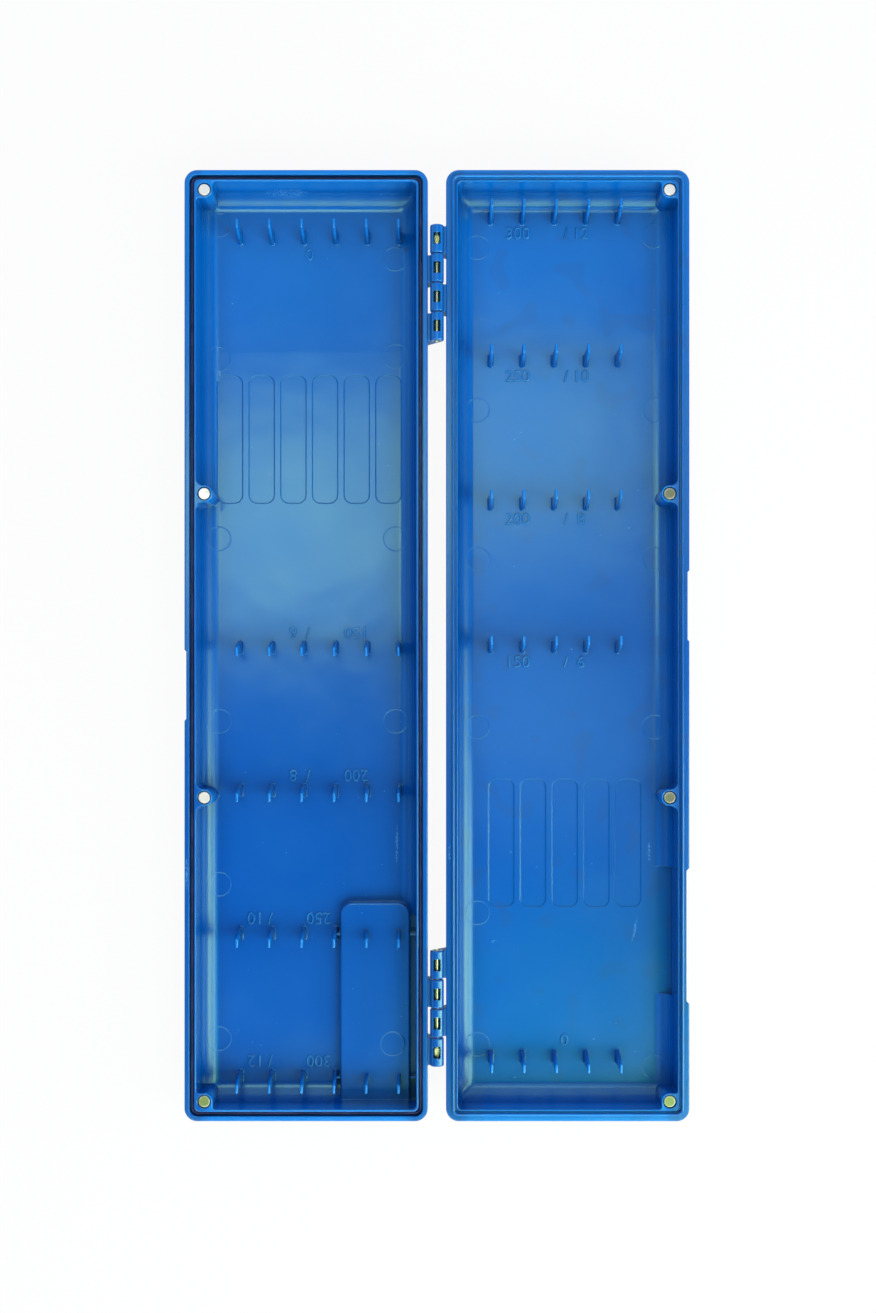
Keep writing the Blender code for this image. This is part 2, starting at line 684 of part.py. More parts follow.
def make_magnets(side, prefix):
    """The tray's chamfered disc magnets, a little below the rim."""
    half = MAGNET_LENGTH / 2
    rim = MAGNET_RADIUS - MAGNET_CHAMFER
    profile = [(0, half), (rim, half), (MAGNET_RADIUS, half - MAGNET_CHAMFER),
               (MAGNET_RADIUS, -half + MAGNET_CHAMFER), (rim, -half), (0, -half)]
    from_the_top = sorted(magnet_places(), key=lambda spot: side * spot[1])
    for number, (u, v) in enumerate(from_the_top, start=1):
        turned(f"{prefix}_magnet_{number}", side, profile, place(side, u, v, MAGNET_TOP - half),
               (0, 0, 0), TURNED_STEPS, NICKEL)


def make_pin(name, side, centre):
    """A hinge pin with a knurled end in the window of its tray's last knuckle."""
    half = KNUCKLE_COUNT * KNUCKLE_PITCH / 2 - KNUCKLE_GAP / 2 + PIN_PROUD
    knurl_middle = (KNUCKLE_COUNT - 1) / 2 * KNUCKLE_PITCH
    start = knurl_middle + KNURL_LENGTH / 2
    end = knurl_middle - KNURL_LENGTH / 2
    taper = KNURL_RADIUS - PIN_RADIUS
    tip = PIN_RADIUS - PIN_CHAMFER
    profile = [(0, half), (tip, half), (PIN_RADIUS, half - PIN_CHAMFER),
               (PIN_RADIUS, start + taper), (KNURL_RADIUS, start),
               (KNURL_RADIUS, end), (PIN_RADIUS, end - taper),
               (PIN_RADIUS, -half + PIN_CHAMFER), (tip, -half), (0, -half)]
    turn = math.pi / 2 if side == BASE_SIDE else -math.pi / 2
    return turned(name, side, profile, place(side, 0, centre, TRAY_HEIGHT), (turn, 0, 0),
                  PIN_STEPS, PIN_STEEL)


def make_seal():
    """The rubber cord that lies in the base's groove, one closed loop."""
    inset = LEDGE_WIDTH + GROOVE_WIDTH / 2
    height = RIM_Z - GROOVE_DEPTH + SEAL_CLEARANCE + SEAL_DIAMETER / 2
    outline = rounded_rectangle(TRAY_CENTRE, 0, TRAY_WIDTH / 2 - inset, HALF_LENGTH - inset,
                                CORNER_RADIUS - inset, CORNER_STEPS)
    curve = bpy.data.curves.new("seal_cord", "CURVE")
    curve.dimensions = "3D"
    curve.bevel_depth = SEAL_DIAMETER / 2
    curve.bevel_resolution = SEAL_BEVEL_RESOLUTION
    spline = curve.splines.new("POLY")
    spline.points.add(len(outline) - 1)
    for point, (u, v) in zip(spline.points, outline):
        point.co = (*place(BASE_SIDE, u, v, height), 1.0)
    spline.use_cyclic_u = True
    return new_object("seal_cord", curve, BASE_SIDE, GREY_RUBBER)


def main():
    make_tray("base_tray", BASE_SIDE, base_rim_profile(), BASE_STRIP_CENTRE)
    make_tray("lid_tray", LID_SIDE, lid_rim_profile(), LID_STRIP_CENTRE)
    make_seal()
    make_magnets(BASE_SIDE, "base")
    make_magnets(LID_SIDE, "lid")
    make_pin("upper_hinge_pin", LID_SIDE, HINGE_CENTRES[1])
    make_pin("lower_hinge_pin", BASE_SIDE, HINGE_CENTRES[1])


main()
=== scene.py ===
"""Looks of a fishing rig box: two satin blue trays, open flat on their side hinge.

Tray coordinates: u runs out from the hinge line, v towards the tray's hook row,
z up. The base mirrors u into the world and the lid mirrors v, so one set of
formulas makes both trays.
"""
import json
import math

import bmesh
import bpy
import numpy as np
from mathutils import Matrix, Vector


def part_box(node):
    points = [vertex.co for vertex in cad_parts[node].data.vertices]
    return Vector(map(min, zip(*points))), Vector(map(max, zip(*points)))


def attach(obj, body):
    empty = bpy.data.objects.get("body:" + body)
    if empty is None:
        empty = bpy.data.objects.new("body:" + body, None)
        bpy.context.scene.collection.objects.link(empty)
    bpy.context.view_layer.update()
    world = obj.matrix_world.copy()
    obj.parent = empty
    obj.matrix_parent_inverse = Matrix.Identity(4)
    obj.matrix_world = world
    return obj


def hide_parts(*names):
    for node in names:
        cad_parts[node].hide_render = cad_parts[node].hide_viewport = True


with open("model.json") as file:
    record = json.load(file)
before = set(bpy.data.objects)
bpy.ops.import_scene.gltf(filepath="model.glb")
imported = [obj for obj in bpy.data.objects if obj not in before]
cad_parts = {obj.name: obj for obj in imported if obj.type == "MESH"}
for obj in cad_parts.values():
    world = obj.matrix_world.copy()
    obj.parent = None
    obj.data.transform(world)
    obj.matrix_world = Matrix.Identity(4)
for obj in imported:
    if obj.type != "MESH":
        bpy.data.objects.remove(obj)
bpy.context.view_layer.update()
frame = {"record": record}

MM = 0.001
BASE_SIDE = -1
LID_SIDE = 1

# Places read from the frame
BASE_LOW, BASE_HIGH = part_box("base_tray")
PIN_LOW, PIN_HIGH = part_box("upper_hinge_pin")
OUTER_SIDE = -BASE_LOW.x
HALF_LENGTH = BASE_HIGH.y
HINGE_Z = (PIN_LOW.z + PIN_HIGH.z) / 2

# Tray shell and rims
CLOSED_GAP = 0.3 * MM
RIM_Z = HINGE_Z - CLOSED_GAP / 2
HINGE_SIDE = 3.1 * MM
TRAY_WIDTH = OUTER_SIDE - HINGE_SIDE
TRAY_CENTRE = HINGE_SIDE + TRAY_WIDTH / 2
FLOOR = 2 * MM
FLOOR_FILLET = 6 * MM
BOTTOM_EDGE_RADIUS = 4 * MM
CORNER_RADIUS = 4.4 * MM
INNER_CORNER_RADIUS = 1.7 * MM
WALL = 4 * MM
WALL_AT_FLOOR = 4.22 * MM
WALL_DRAFT = WALL_AT_FLOOR - WALL
EDGE_ROUND = 0.4 * MM
LEDGE_WIDTH = 1.7 * MM
GROOVE_INNER = 3.2 * MM
GROOVE_BOTTOM = RIM_Z - 2.5 * MM
GROOVE_EDGE = 0.16 * MM
BASE_LIP_ROUND = 0.34 * MM
TONGUE_OUTER = 2 * MM
TONGUE_WIDTH = 0.9 * MM
TONGUE_TOP = RIM_Z + 1.3 * MM
LID_STEP = 0.3 * MM
LID_LIP_OUTER = 3.4 * MM
LID_LIP_ROUND = 0.2 * MM
LIP_SUNK = 0.45 * MM
SEAL_RADIUS = 0.45 * MM
SEAL_INSET = (LEDGE_WIDTH + GROOVE_INNER) / 2
SEAL_LEVEL = GROOVE_BOTTOM + 0.3 * MM + SEAL_RADIUS

# Pegs
COLUMN_COUNT = {BASE_SIDE: 6, LID_SIDE: 5}
COLUMN_PITCH = 11.1 * MM
FIRST_COLUMN = HINGE_SIDE + 10.1 * MM
HOOK_ROW = HALF_LENGTH - 15.5 * MM
RIG_LENGTHS = (300, 250, 200, 150)
PEG_LENGTH = 5.6 * MM
PEG_TIP_Z = 14.5 * MM
PEG_HEIGHT = PEG_TIP_Z - FLOOR
PEG_THICKNESS = 1.5 * MM
PEG_TOP_SHARE = 0.66
PEG_NIB = 1.2 * MM
PEG_LEAN = 2.5 * MM
PEG_LEAN_POWER = 1.75
NIB_LOW = PEG_HEIGHT - 1.75 * MM
NIB_HIGH = PEG_HEIGHT - 0.6 * MM
RIDGE_ROUND = 0.42 * MM
ROOT_FLARE = 0.4 * MM
FLARE_ANGLE = 75
END_POINTS = 9
BLUNT_ACROSS = 0.5
BLUNT_ALONG = 0.6
BLUNT_DEPTH = 0.45

# Magnets, their bosses and pockets
MAGNET_INSET = 6.7 * MM
POCKET_RADIUS = 2.3 * MM
POCKET_DEPTH = 3.6 * MM
POCKET_EDGE = 0.14 * MM
BOSS_RADIUS = 2.85 * MM
BOSS_ROUND = 0.35 * MM
BOSS_TOP = RIM_Z - 0.01 * MM
CORNER_BOSS_FILLET = 0.9 * MM
SIDE_BOSS_FILLET = 2.5 * MM
MAGNET_EDGE = 0.28 * MM
FACE_RINGS = np.linspace(0.2, 0.8, 4)

# Hinge
KNUCKLE_COUNT = 4
KNUCKLE_PITCH = 9.9 * MM
KNUCKLE_GAP = 0.3 * MM
KNUCKLE_RADIUS = 2.35 * MM
KNUCKLE_ROUND = 0.5 * MM
BORE_RADIUS = 1.05 * MM
HINGE_CENTRE = HALF_LENGTH - 38.7 * MM
WEB_TOP_DROP = 0.4 * MM
WEB_SINK = 1 * MM
WEB_ANGLE = 40
WINDOW_WIDTH = 2.4 * MM
WINDOW_LENGTH = 4 * MM
WINDOW_CORNER = 0.3 * MM
WINDOW_FLOOR = HINGE_Z - 1.1 * MM
PIN_RADIUS = 0.75 * MM
PIN_CHAMFER = 0.2 * MM
KNURL_HEIGHT = 0.2 * MM
KNURL_LENGTH = 2.2 * MM
KNURL_TEETH = 14
KNURL_LEAD = 3 * KNURL_HEIGHT
KNURL_RINGS = 60
KNURL_POINTS = 112

# Order of axes that lays an upright grid along the hinge
LAID = [0, 2, 1]

# Strips, platform, notches
STRIP_WIDTH = 9.1 * MM
STRIP_LENGTH = 45 * MM
STRIP_CORNER = 3 * MM
STRIP_DEPTH = 0.35 * MM
STRIP_SLOPE = 0.22 * MM
STRIP_COLUMN_OFFSET = 3.8 * MM
STRIP_CENTRES = {BASE_SIDE: 72.8 * MM, LID_SIDE: 68.6 * MM}
PLATFORM_ROWS = (300, 250)
PLATFORM_TOP = 6 * MM
PLATFORM_NEAR = HINGE_SIDE + WALL_AT_FLOOR + 2 * MM
PLATFORM_FAR = FIRST_COLUMN + 2 * COLUMN_PITCH - PEG_THICKNESS / 2 - 1 * MM
PLATFORM_LEAD = 14.5 * MM
PLATFORM_CORNER = 4.3 * MM
PLATFORM_ROUND = 0.8 * MM
SLOT_RISE = 0.5 * MM
RIB_THICKNESS = 1 * MM
RIB_SETBACK = 3 * MM
RIB_ROUND = 0.3 * MM
RIB_CORNER = 0.1 * MM
THUMB_CENTRE = -13.5 * MM
THUMB_LENGTH = 23 * MM
THUMB_DEPTH = 0.65 * MM
THUMB_HEIGHT = 9 * MM
GRIP_CENTRE = 98.9 * MM
GRIP_LENGTH = 44.5 * MM
GRIP_DEPTH = 1 * MM
GRIP_HEIGHT = 13 * MM

# Mould marks on the floors
MARK_HEIGHT = 0.13 * MM
MARK_HALF_WIDTH = 0.2 * MM
INSERT_MARK_HEIGHT = 0.06 * MM
MARK_POINTS = 72
MARK_RADIUS = 4.15 * MM
MARK_CLIMB = 0.98
INSERT_BEHIND = 1 * MM
INSERT_AHEAD = 5.9 * MM
INSERT_MARGIN = 3.6 * MM
INSERT_CORNER = 3 * MARK_HALF_WIDTH
INSERT_POINTS = 4 * MARK_POINTS
UNMARKED_ROW = (BASE_SIDE, 300)
PLATFORM_MARK = (15.5 * MM, -138 * MM)

# Ejector marks in mm: for each u, their places along v
EJECTOR_PLACES = {
    BASE_SIDE: {76.3: (148, 101, 38, -26, -83, -137), 14.6: (136, 102, 38, -26)},
    LID_SIDE: {14.2: (-140, -83, -31, 28, 93, 139), 76.0: (-144, -83, -31, 28, 147)},
}

# Raised numbers
NUMBER_HEIGHT = 4.2 * MM
NUMBER_RAISE = 0.32 * MM
NUMBER_EDGE = 0.08 * MM
NUMBER_THINNED = 0.08 * MM
NUMBER_GAP = 1.1 * MM
NUMBER_PLACES = (-16.3 * MM, 0.6 * MM, 5.8 * MM)
CAP_HEIGHT_SHARE = 0.72
CURVE_STEPS = 4
MERGE_DISTANCE = 0.002 * MM
INCH = 25

OVERRUN = 0.6 * MM
SHARP_ANGLE = math.radians(34)
JOIN = "UNION"
CUT = "DIFFERENCE"


def arc(centre, radius, start, end, steps):
    """Points centre + radius (cos a, sin a), with a even between two angles in degrees."""
    turn = np.radians(np.linspace(start, end, steps + 1))
    return np.stack([centre[0] + radius * np.cos(turn), centre[1] + radius * np.sin(turn)], axis=1)


def round_over(radius, steps):
    """A quarter round as two arrays: how far it draws in, r (1 - cos a), and how
    far it rises, r sin a, for a from 0 to 90 degrees."""
    turn = np.radians(np.linspace(0, 90, steps + 1))
    return radius * (1 - np.cos(turn)), radius * np.sin(turn)


def round_topped(low, top, radius, steps):
    """Margins and heights of the rings of a form that rises upright from a low level
    and ends in a quarter round at its top."""
    draw, rise = round_over(radius, steps)
    return np.concatenate([[0], draw]), np.concatenate([[low], top - radius + rise])


def rounded_outlines(centre, half_u, half_v, radius, steps):
    """Rectangles with round corners, one for each size in the arrays given.

    Each corner is a quarter arc about centre + sign (half - radius)."""
    sizes = np.broadcast_arrays(*np.atleast_1d(half_u, half_v, radius))
    half_u, half_v, radius = (size[:, None] for size in sizes)
    turn = np.radians(np.add.outer(np.arange(4) * 90, np.linspace(0, 90, steps + 1))).ravel()
    sign_u = np.repeat((1, -1, -1, 1), steps + 1)
    sign_v = np.repeat((1, 1, -1, -1), steps + 1)
    u = centre[0] + sign_u * (half_u - radius) + radius * np.cos(turn)
    v = centre[1] + sign_v * (half_v - radius) + radius * np.sin(turn)
    return np.stack([u, v], axis=2)


def tray_outlines(inset):
    """Outlines of the tray drawn in by each inset of an array."""
    radius = np.maximum(CORNER_RADIUS - inset, INNER_CORNER_RADIUS)
    return rounded_outlines((TRAY_CENTRE, 0), TRAY_WIDTH / 2 - inset, HALF_LENGTH - inset, radius, steps=12)


def lifted(outlines, heights):
    """A grid (rings, around, 3): each outline of (rings, around, 2) at its height."""
    level = np.broadcast_to(np.asarray(heights, float)[:, None, None], (*outlines.shape[:2], 1))
    return np.concatenate([outlines, level], axis=2)


def prism(outline, low, high):
    """A grid of two rings: one outline (around, 2) at two heights."""
    return lifted(np.stack([outline, outline]), (low, high))


def on_side(side, grid):
    """World points of tray coordinates: (side u, -side v, z)."""
    return grid * np.array([side, -side, 1.0])


def skin(grid, looped=False):
    """Points and faces of a closed skin over a grid (rings, around, 3).

    Every cell of the grid is a quad. The end rings get a flat face each, or,
    looped, the last ring joins the first. Faces come as arrays (count, corners)."""
    rings, around = grid.shape[:2]
    index = np.arange(rings * around).reshape(rings, around)
    rows = np.vstack([index, index[:1]]) if looped else index
    after = np.roll(rows, -1, axis=1)
    faces = [np.stack([rows[:-1], after[:-1], after[1:], rows[1:]], axis=2).reshape(-1, 4)]
    if not looped:
        faces += [index[:1, ::-1], index[-1:]]
    return grid.reshape(-1, 3), faces


def mend(mesh, merge=False):
    """Merge doubles where asked, and turn every face of closed skins outwards."""
    cage = bmesh.new()
    cage.from_mesh(mesh)
    if merge:
        bmesh.ops.remove_doubles(cage, verts=cage.verts, dist=MERGE_DISTANCE)
    bmesh.ops.recalc_face_normals(cage, faces=cage.faces)
    cage.to_mesh(mesh)
    cage.free()


def solid(name, skins):
    """One object from several closed skins, side by side in one mesh."""
    starts = np.cumsum([0, *[len(points) for points, _ in skins]])
    points = np.concatenate([points for points, _ in skins])
    shifted = [group + start for start, (_, faces) in zip(starts, skins) for group in faces]
    mesh = bpy.data.meshes.new(name)
    mesh.from_pydata(points.tolist(), [], [face for group in shifted for face in group.tolist()])
    mend(mesh)
    item = bpy.data.objects.new(name, mesh)
    bpy.context.scene.collection.objects.link(item)
    return item


def shape_with(target, steps):
    """Join tools to a target or cut them from it, by exact Booleans in the order
    given, and keep the evaluated mesh."""
    for operation, tool in steps:
        modifier = target.modifiers.new(tool.name, "BOOLEAN")
        modifier.operation = operation
        modifier.object = tool
        modifier.solver = "EXACT"
    view = bpy.context.evaluated_depsgraph_get()
    mesh = bpy.data.meshes.new_from_object(target.evaluated_get(view))
    target.modifiers.clear()
    target.data = mesh
    for _, tool in steps:
        bpy.data.objects.remove(tool)
    return target


def smooth(item):
    """Smooth shading with sharp edges kept, and flat faces kept flat."""
    item.data.shade_smooth()
    item.data.set_sharp_from_angle(angle=SHARP_ANGLE)
    item.modifiers.new("face_weighted_normals", "WEIGHTED_NORMAL").keep_sharp = True
    return item


def base_rim():
    """Ledge, seal groove and full round lip, as (inset, height) points."""
    edge, lip = GROOVE_EDGE, BASE_LIP_ROUND
    return np.concatenate([
        arc((LEDGE_WIDTH - edge, RIM_Z - edge), edge, 90, 0, steps=4),
        [(LEDGE_WIDTH, GROOVE_BOTTOM), (GROOVE_INNER, GROOVE_BOTTOM)],
        arc((GROOVE_INNER + lip, RIM_Z - lip), lip, 180, 90, steps=5),
        arc((WALL - lip, RIM_Z - lip), lip, 90, 0, steps=5),
    ])


def lid_rim():
    """Ledge, round-topped tongue, low step and lip, as (inset, height) points."""
    crown, lip = TONGUE_WIDTH / 2, LID_LIP_ROUND
    return np.concatenate([
        [(TONGUE_OUTER, RIM_Z)],
        arc((TONGUE_OUTER + crown, TONGUE_TOP - crown), crown, 180, 0, steps=10),
        [(TONGUE_OUTER + TONGUE_WIDTH, RIM_Z - LID_STEP), (LID_LIP_OUTER, RIM_Z - LID_STEP)],
        arc((LID_LIP_OUTER + lip, RIM_Z - lip), lip, 180, 90, steps=4),
        arc((WALL - lip, RIM_Z - lip), lip, 90, 0, steps=4),
    ])


def tray_shell(side, rim):
    """The wall section, a polyline of arcs, carried round the rounded rectangle."""
    section = np.concatenate([
        arc((WALL_DRAFT + BOTTOM_EDGE_RADIUS, BOTTOM_EDGE_RADIUS), BOTTOM_EDGE_RADIUS, 270, 180, steps=10),
        arc((EDGE_ROUND, RIM_Z - EDGE_ROUND), EDGE_ROUND, 180, 90, steps=5),
        rim,
        arc((WALL_AT_FLOOR + FLOOR_FILLET, FLOOR + FLOOR_FILLET), FLOOR_FILLET, 180, 270, steps=14),
    ])
    return on_side(side, lifted(tray_outlines(section[:, 0]), section[:, 1]))


def peg_columns(side):
    """Distances of the peg columns from the hinge; the lid's stand midway."""
    shift = 0 if side == BASE_SIDE else 0.5
    return FIRST_COLUMN + COLUMN_PITCH * (np.arange(COLUMN_COUNT[side]) + shift)


def row_front(length):
    """Where the nibs of the row for a rig of this many millimetres stand."""
    return HOOK_ROW - length * MM


def peg_grid():
    """A peg at the origin, its nib tip at along 0 and its back towards +along.

    Rings rise from below the floor to the ridge. At height h the back lies at
    length - lean (h / height) ^ power, the front face at the nib's depth until a
    smooth step brings the nib forward, and the thickness falls in a straight
    line. A quarter round closes the ridge and a hollow arc flares the root.
    Each ring ends behind in a half circle (cos a, sin a), and in front in the
    blunt curve (cos a ^ p, -depth sin a ^ q), both times half the thickness."""
    flare = np.radians(np.linspace(FLARE_ANGLE, 0, num=5))
    draw, rise = round_over(RIDGE_ROUND, steps=6)
    root = ROOT_FLARE * (1 - np.sin(flare))
    foot = ROOT_FLARE * (1 - np.cos(flare))
    body = np.linspace(ROOT_FLARE * 2, NIB_LOW, num=7)
    nib = np.linspace(NIB_LOW, NIB_HIGH, num=6)[1:]
    ridge = PEG_HEIGHT - RIDGE_ROUND + rise[:-1]
    height = np.concatenate([[-OVERRUN], root, body, nib, ridge])
    spread = np.concatenate([foot[:1], foot, np.zeros(len(body) + len(nib)), -draw[:-1]])
    share = np.clip(height / PEG_HEIGHT, 0, 1)
    step = np.clip((height - NIB_LOW) / (NIB_HIGH - NIB_LOW), 0, 1)
    front = PEG_NIB * (1 - step * step * (3 - 2 * step)) - spread
    back = PEG_LENGTH - PEG_LEAN * share ** PEG_LEAN_POWER + spread
    half = PEG_THICKNESS / 2 * (1 - (1 - PEG_TOP_SHARE) * share) + spread
    turn = np.radians(np.linspace(0, 180, END_POINTS))
    width, depth = np.cos(turn), np.sin(turn)
    blunt_width = np.sign(width) * np.abs(width) ** BLUNT_ACROSS
    blunt_depth = -BLUNT_DEPTH * depth ** BLUNT_ALONG
    across = np.concatenate([width, blunt_width[::-1]]) * half[:, None]
    reach = np.concatenate([depth, blunt_depth[::-1]]) * half[:, None]
    ends = np.stack([back - half, front + BLUNT_DEPTH * half], axis=1)
    along = np.repeat(ends, END_POINTS, axis=1) + reach
    level = np.broadcast_to(height[:, None] + FLOOR, across.shape)
    return np.stack([across, along, level], axis=2)


def peg_rows(side):
    """All pegs of a tray: the hook row looks the other way than the rig rows."""
    peg = peg_grid()
    spots = [(u, HOOK_ROW, -1) for u in peg_columns(side)]
    spots += [(u, row_front(length), 1) for u in peg_columns(side) for length in RIG_LENGTHS]
    return [skin(on_side(side, peg * (1, facing, 1) + (u, v, 0))) for u, v, facing in spots]


def corner_boss(margin):
    """Corner boss outline as insets from both outer faces, drawn in by a margin."""
    buried = WALL - LIP_SUNK
    turn = buried + INNER_CORNER_RADIUS
    centre = MAGNET_INSET + BOSS_RADIUS + CORNER_BOSS_FILLET
    hollow = WALL + CORNER_BOSS_FILLET
    fillet = CORNER_BOSS_FILLET + margin
    return np.concatenate([
        arc((turn, turn), INNER_CORNER_RADIUS, 270, 180, steps=4),
        [(buried, centre)],
        arc((hollow, centre), fillet, 180, 270, steps=6),
        arc((MAGNET_INSET, MAGNET_INSET), BOSS_RADIUS - margin, 90, 0, steps=16),
        arc((centre, hollow), fillet, 180, 270, steps=6),
        [(centre, buried)],
    ])


def side_boss(margin):
    """Side boss outline: hollow arcs run tangent from the wall into a round boss."""
    buried = WALL - LIP_SUNK
    hollow = WALL + SIDE_BOSS_FILLET
    rise = MAGNET_INSET - hollow
    spread = math.sqrt((BOSS_RADIUS + SIDE_BOSS_FILLET) ** 2 - rise ** 2)
    meeting = math.degrees(math.atan2(-spread, rise))
    first = arc((hollow, spread), SIDE_BOSS_FILLET + margin, 180, meeting + 360, steps=8)
    crown = arc((MAGNET_INSET, 0), BOSS_RADIUS - margin, meeting + 180, -meeting - 180, steps=28)
    second = first[::-1] * (1, -1)
    return np.concatenate([[(buried, spread)], first, crown[1:-1], second, [(buried, -spread)]])


def magnet_places():
    """Tray coordinates of the four magnets along the outer wall."""
    end = HALF_LENGTH - MAGNET_INSET
    return [(OUTER_SIDE - MAGNET_INSET, v) for v in np.linspace(end, -end, num=4)]


def magnet_bosses(side):
    """Two corner bosses and two side bosses."""
    margins, heights = round_topped(FLOOR - OVERRUN, BOSS_TOP, BOSS_ROUND, steps=5)
    corner = np.stack([corner_boss(margin) for margin in margins])
    middle = np.stack([side_boss(margin) for margin in margins])
    grids = [lifted((OUTER_SIDE, end * HALF_LENGTH) - corner * (1, end), heights) for end in (1, -1)]
    grids += [lifted((OUTER_SIDE, v) - middle, heights) for _, v in magnet_places()[1:-1]]
    return [skin(on_side(side, grid)) for grid in grids]


def turned(profile, centre, around=48):
    """A (radius, height) profile turned about an upright axis through a centre."""
    turn = np.linspace(0, 2 * np.pi, around, endpoint=False)
    radius, height = profile[:, :1], profile[:, 1:]
    height = np.broadcast_to(height, (len(profile), around))
    grid = np.stack([radius * np.cos(turn), radius * np.sin(turn), height], axis=2)
    return grid + np.asarray(centre, float)


def magnet_pockets(side):
    """Blind holes with a small chamfer at the mouth."""
    mouth = POCKET_RADIUS + POCKET_EDGE
    profile = np.array([(POCKET_RADIUS, RIM_Z - POCKET_DEPTH), (POCKET_RADIUS, RIM_Z - POCKET_EDGE),
                        (mouth, RIM_Z), (mouth, RIM_Z + OVERRUN)])
    return [skin(on_side(side, turned(profile, (u, v, 0)))) for u, v in magnet_places()]


def knuckle_outline(margin):
    """Barrel and tangent web seen along the pin, from the pin's centre."""
    radius = KNUCKLE_RADIUS - margin
    reach = HINGE_SIDE + WEB_SINK
    shoulder = math.degrees(math.asin((WEB_TOP_DROP + margin) / radius))
    lean = math.radians(WEB_ANGLE)
    foot = -radius * math.sin(lean) - (reach + radius * math.cos(lean)) / math.tan(lean)
    return np.concatenate([
        [(reach, -WEB_TOP_DROP - margin)],
        arc((0, 0), radius, -shoulder, 180 + WEB_ANGLE, steps=30),
        [(reach, foot)],
    ])


def knuckle_centres():
    """Places along the hinge of one tray's knuckles: the second and the fourth."""
    first = (KNUCKLE_COUNT - 1) / 2 * KNUCKLE_PITCH
    return [centre + first - KNUCKLE_PITCH * n for centre in (HINGE_CENTRE, -HINGE_CENTRE) for n in (1, 3)]


def knuckles(side):
    """The knuckle outline carried along the hinge, with both ends rounded."""
    draw, rise = round_over(KNUCKLE_ROUND, steps=6)
    half = (KNUCKLE_PITCH - KNUCKLE_GAP) / 2
    margins = np.concatenate([draw[::-1], draw])
    along = np.concatenate([-(half - KNUCKLE_ROUND + rise[::-1]), half - KNUCKLE_ROUND + rise])
    rings = np.stack([knuckle_outline(margin) for margin in margins])
    grid = lifted(rings, along)[:, :, LAID] + (0, 0, HINGE_Z)
    return [skin(on_side(side, grid + (0, centre, 0))) for centre in knuckle_centres()]


def pin_bores():
    """Round holes along both hinge groups."""
    length = KNUCKLE_COUNT * KNUCKLE_PITCH / 2 + OVERRUN
    profile = np.array([(BORE_RADIUS, -length), (BORE_RADIUS, length)])
    lying = turned(profile, (0, 0, 0), around=32)[:, :, LAID]
    return [skin(lying + (0, centre, HINGE_Z)) for centre in (HINGE_CENTRE, -HINGE_CENTRE)]


def knuckle_windows(side):
    """Openings with round corners on top of the knuckles."""
    top = HINGE_Z + KNUCKLE_RADIUS + OVERRUN
    outline = rounded_outlines((0, 0), WINDOW_WIDTH / 2, WINDOW_LENGTH / 2, WINDOW_CORNER, steps=4)[0]
    return [skin(on_side(side, prism(outline + (0, centre), WINDOW_FLOOR, top)))
            for centre in knuckle_centres()]


def strips(side):
    """A shallow recess in the floor beside each peg column, with round corners and
    sloping edges: drawn in by the slope at its bottom."""
    draw = np.array([STRIP_SLOPE, 0, 0])
    heights = (FLOOR - STRIP_DEPTH, FLOOR, FLOOR + OVERRUN)
    skins = []
    for column in peg_columns(side):
        centre = (column + STRIP_COLUMN_OFFSET, STRIP_CENTRES[side])
        outlines = rounded_outlines(centre, STRIP_WIDTH / 2 - draw, STRIP_LENGTH / 2 - draw,
                                    STRIP_CORNER - draw, steps=10)
        skins.append(skin(on_side(side, lifted(outlines, heights))))
    return skins


def floor_level(u, v):
    """Height of the tray's inner surface: the floor, and in the fillet at inset d
    from the nearer outer face, floor + r - sqrt(r^2 - (wall + r - d)^2)."""
    inset = np.minimum(TRAY_WIDTH / 2 - np.abs(u - TRAY_CENTRE), HALF_LENGTH - np.abs(v))
    run = np.clip(WALL_AT_FLOOR + FLOOR_FILLET - inset, 0, FLOOR_FILLET * MARK_CLIMB)
    return FLOOR + FLOOR_FILLET - np.sqrt(FLOOR_FILLET ** 2 - run ** 2)


def spaced(outline, count):
    """Points at even steps of length along a closed outline."""
    closed = np.concatenate([outline, outline[:1]])
    length = np.concatenate([[0], np.cumsum(np.hypot(*np.diff(closed, axis=0).T))])
    at = np.linspace(0, length[-1], count, endpoint=False)
    return np.stack([np.interp(at, length, closed[:, 0]), np.interp(at, length, closed[:, 1])], axis=1)


def mould_line(side, centre, half_u, half_v, corner, count, rise, lift=0.0):
    """A fine ridge along a rounded rectangle, following the floor and fillet.

    Five rings make its closed section: two under the surface, two on it at
    plus and minus the half width, and one along the top of the ridge."""
    offsets = MARK_HALF_WIDTH * np.array([1, 1, 0, -1, -1])
    levels = np.array([-OVERRUN, 0, rise, 0, -OVERRUN])
    outlines = rounded_outlines(centre, half_u + offsets, half_v + offsets, corner + offsets, steps=16)
    outlines = np.stack([spaced(outline, count) for outline in outlines])
    level = floor_level(outlines[:, :, 0], outlines[:, :, 1]) + levels[:, None] + lift
    return skin(on_side(side, np.concatenate([outlines, level[:, :, None]], axis=2)), looped=True)


def insert_marks(side):
    """Faint rectangles that the mould's peg inserts leave round the rig rows."""
    columns = peg_columns(side)
    middle = (columns[0] + columns[-1]) / 2
    half_u = (columns[-1] - columns[0]) / 2 + INSERT_MARGIN
    half_v = (INSERT_AHEAD + INSERT_BEHIND) / 2
    reach = (INSERT_AHEAD - INSERT_BEHIND) / 2
    rows = [row_front(length) - reach for length in RIG_LENGTHS if (side, length) != UNMARKED_ROW]
    return [mould_line(side, (middle, v), half_u, half_v, INSERT_CORNER, INSERT_POINTS, INSERT_MARK_HEIGHT)
            for v in rows]


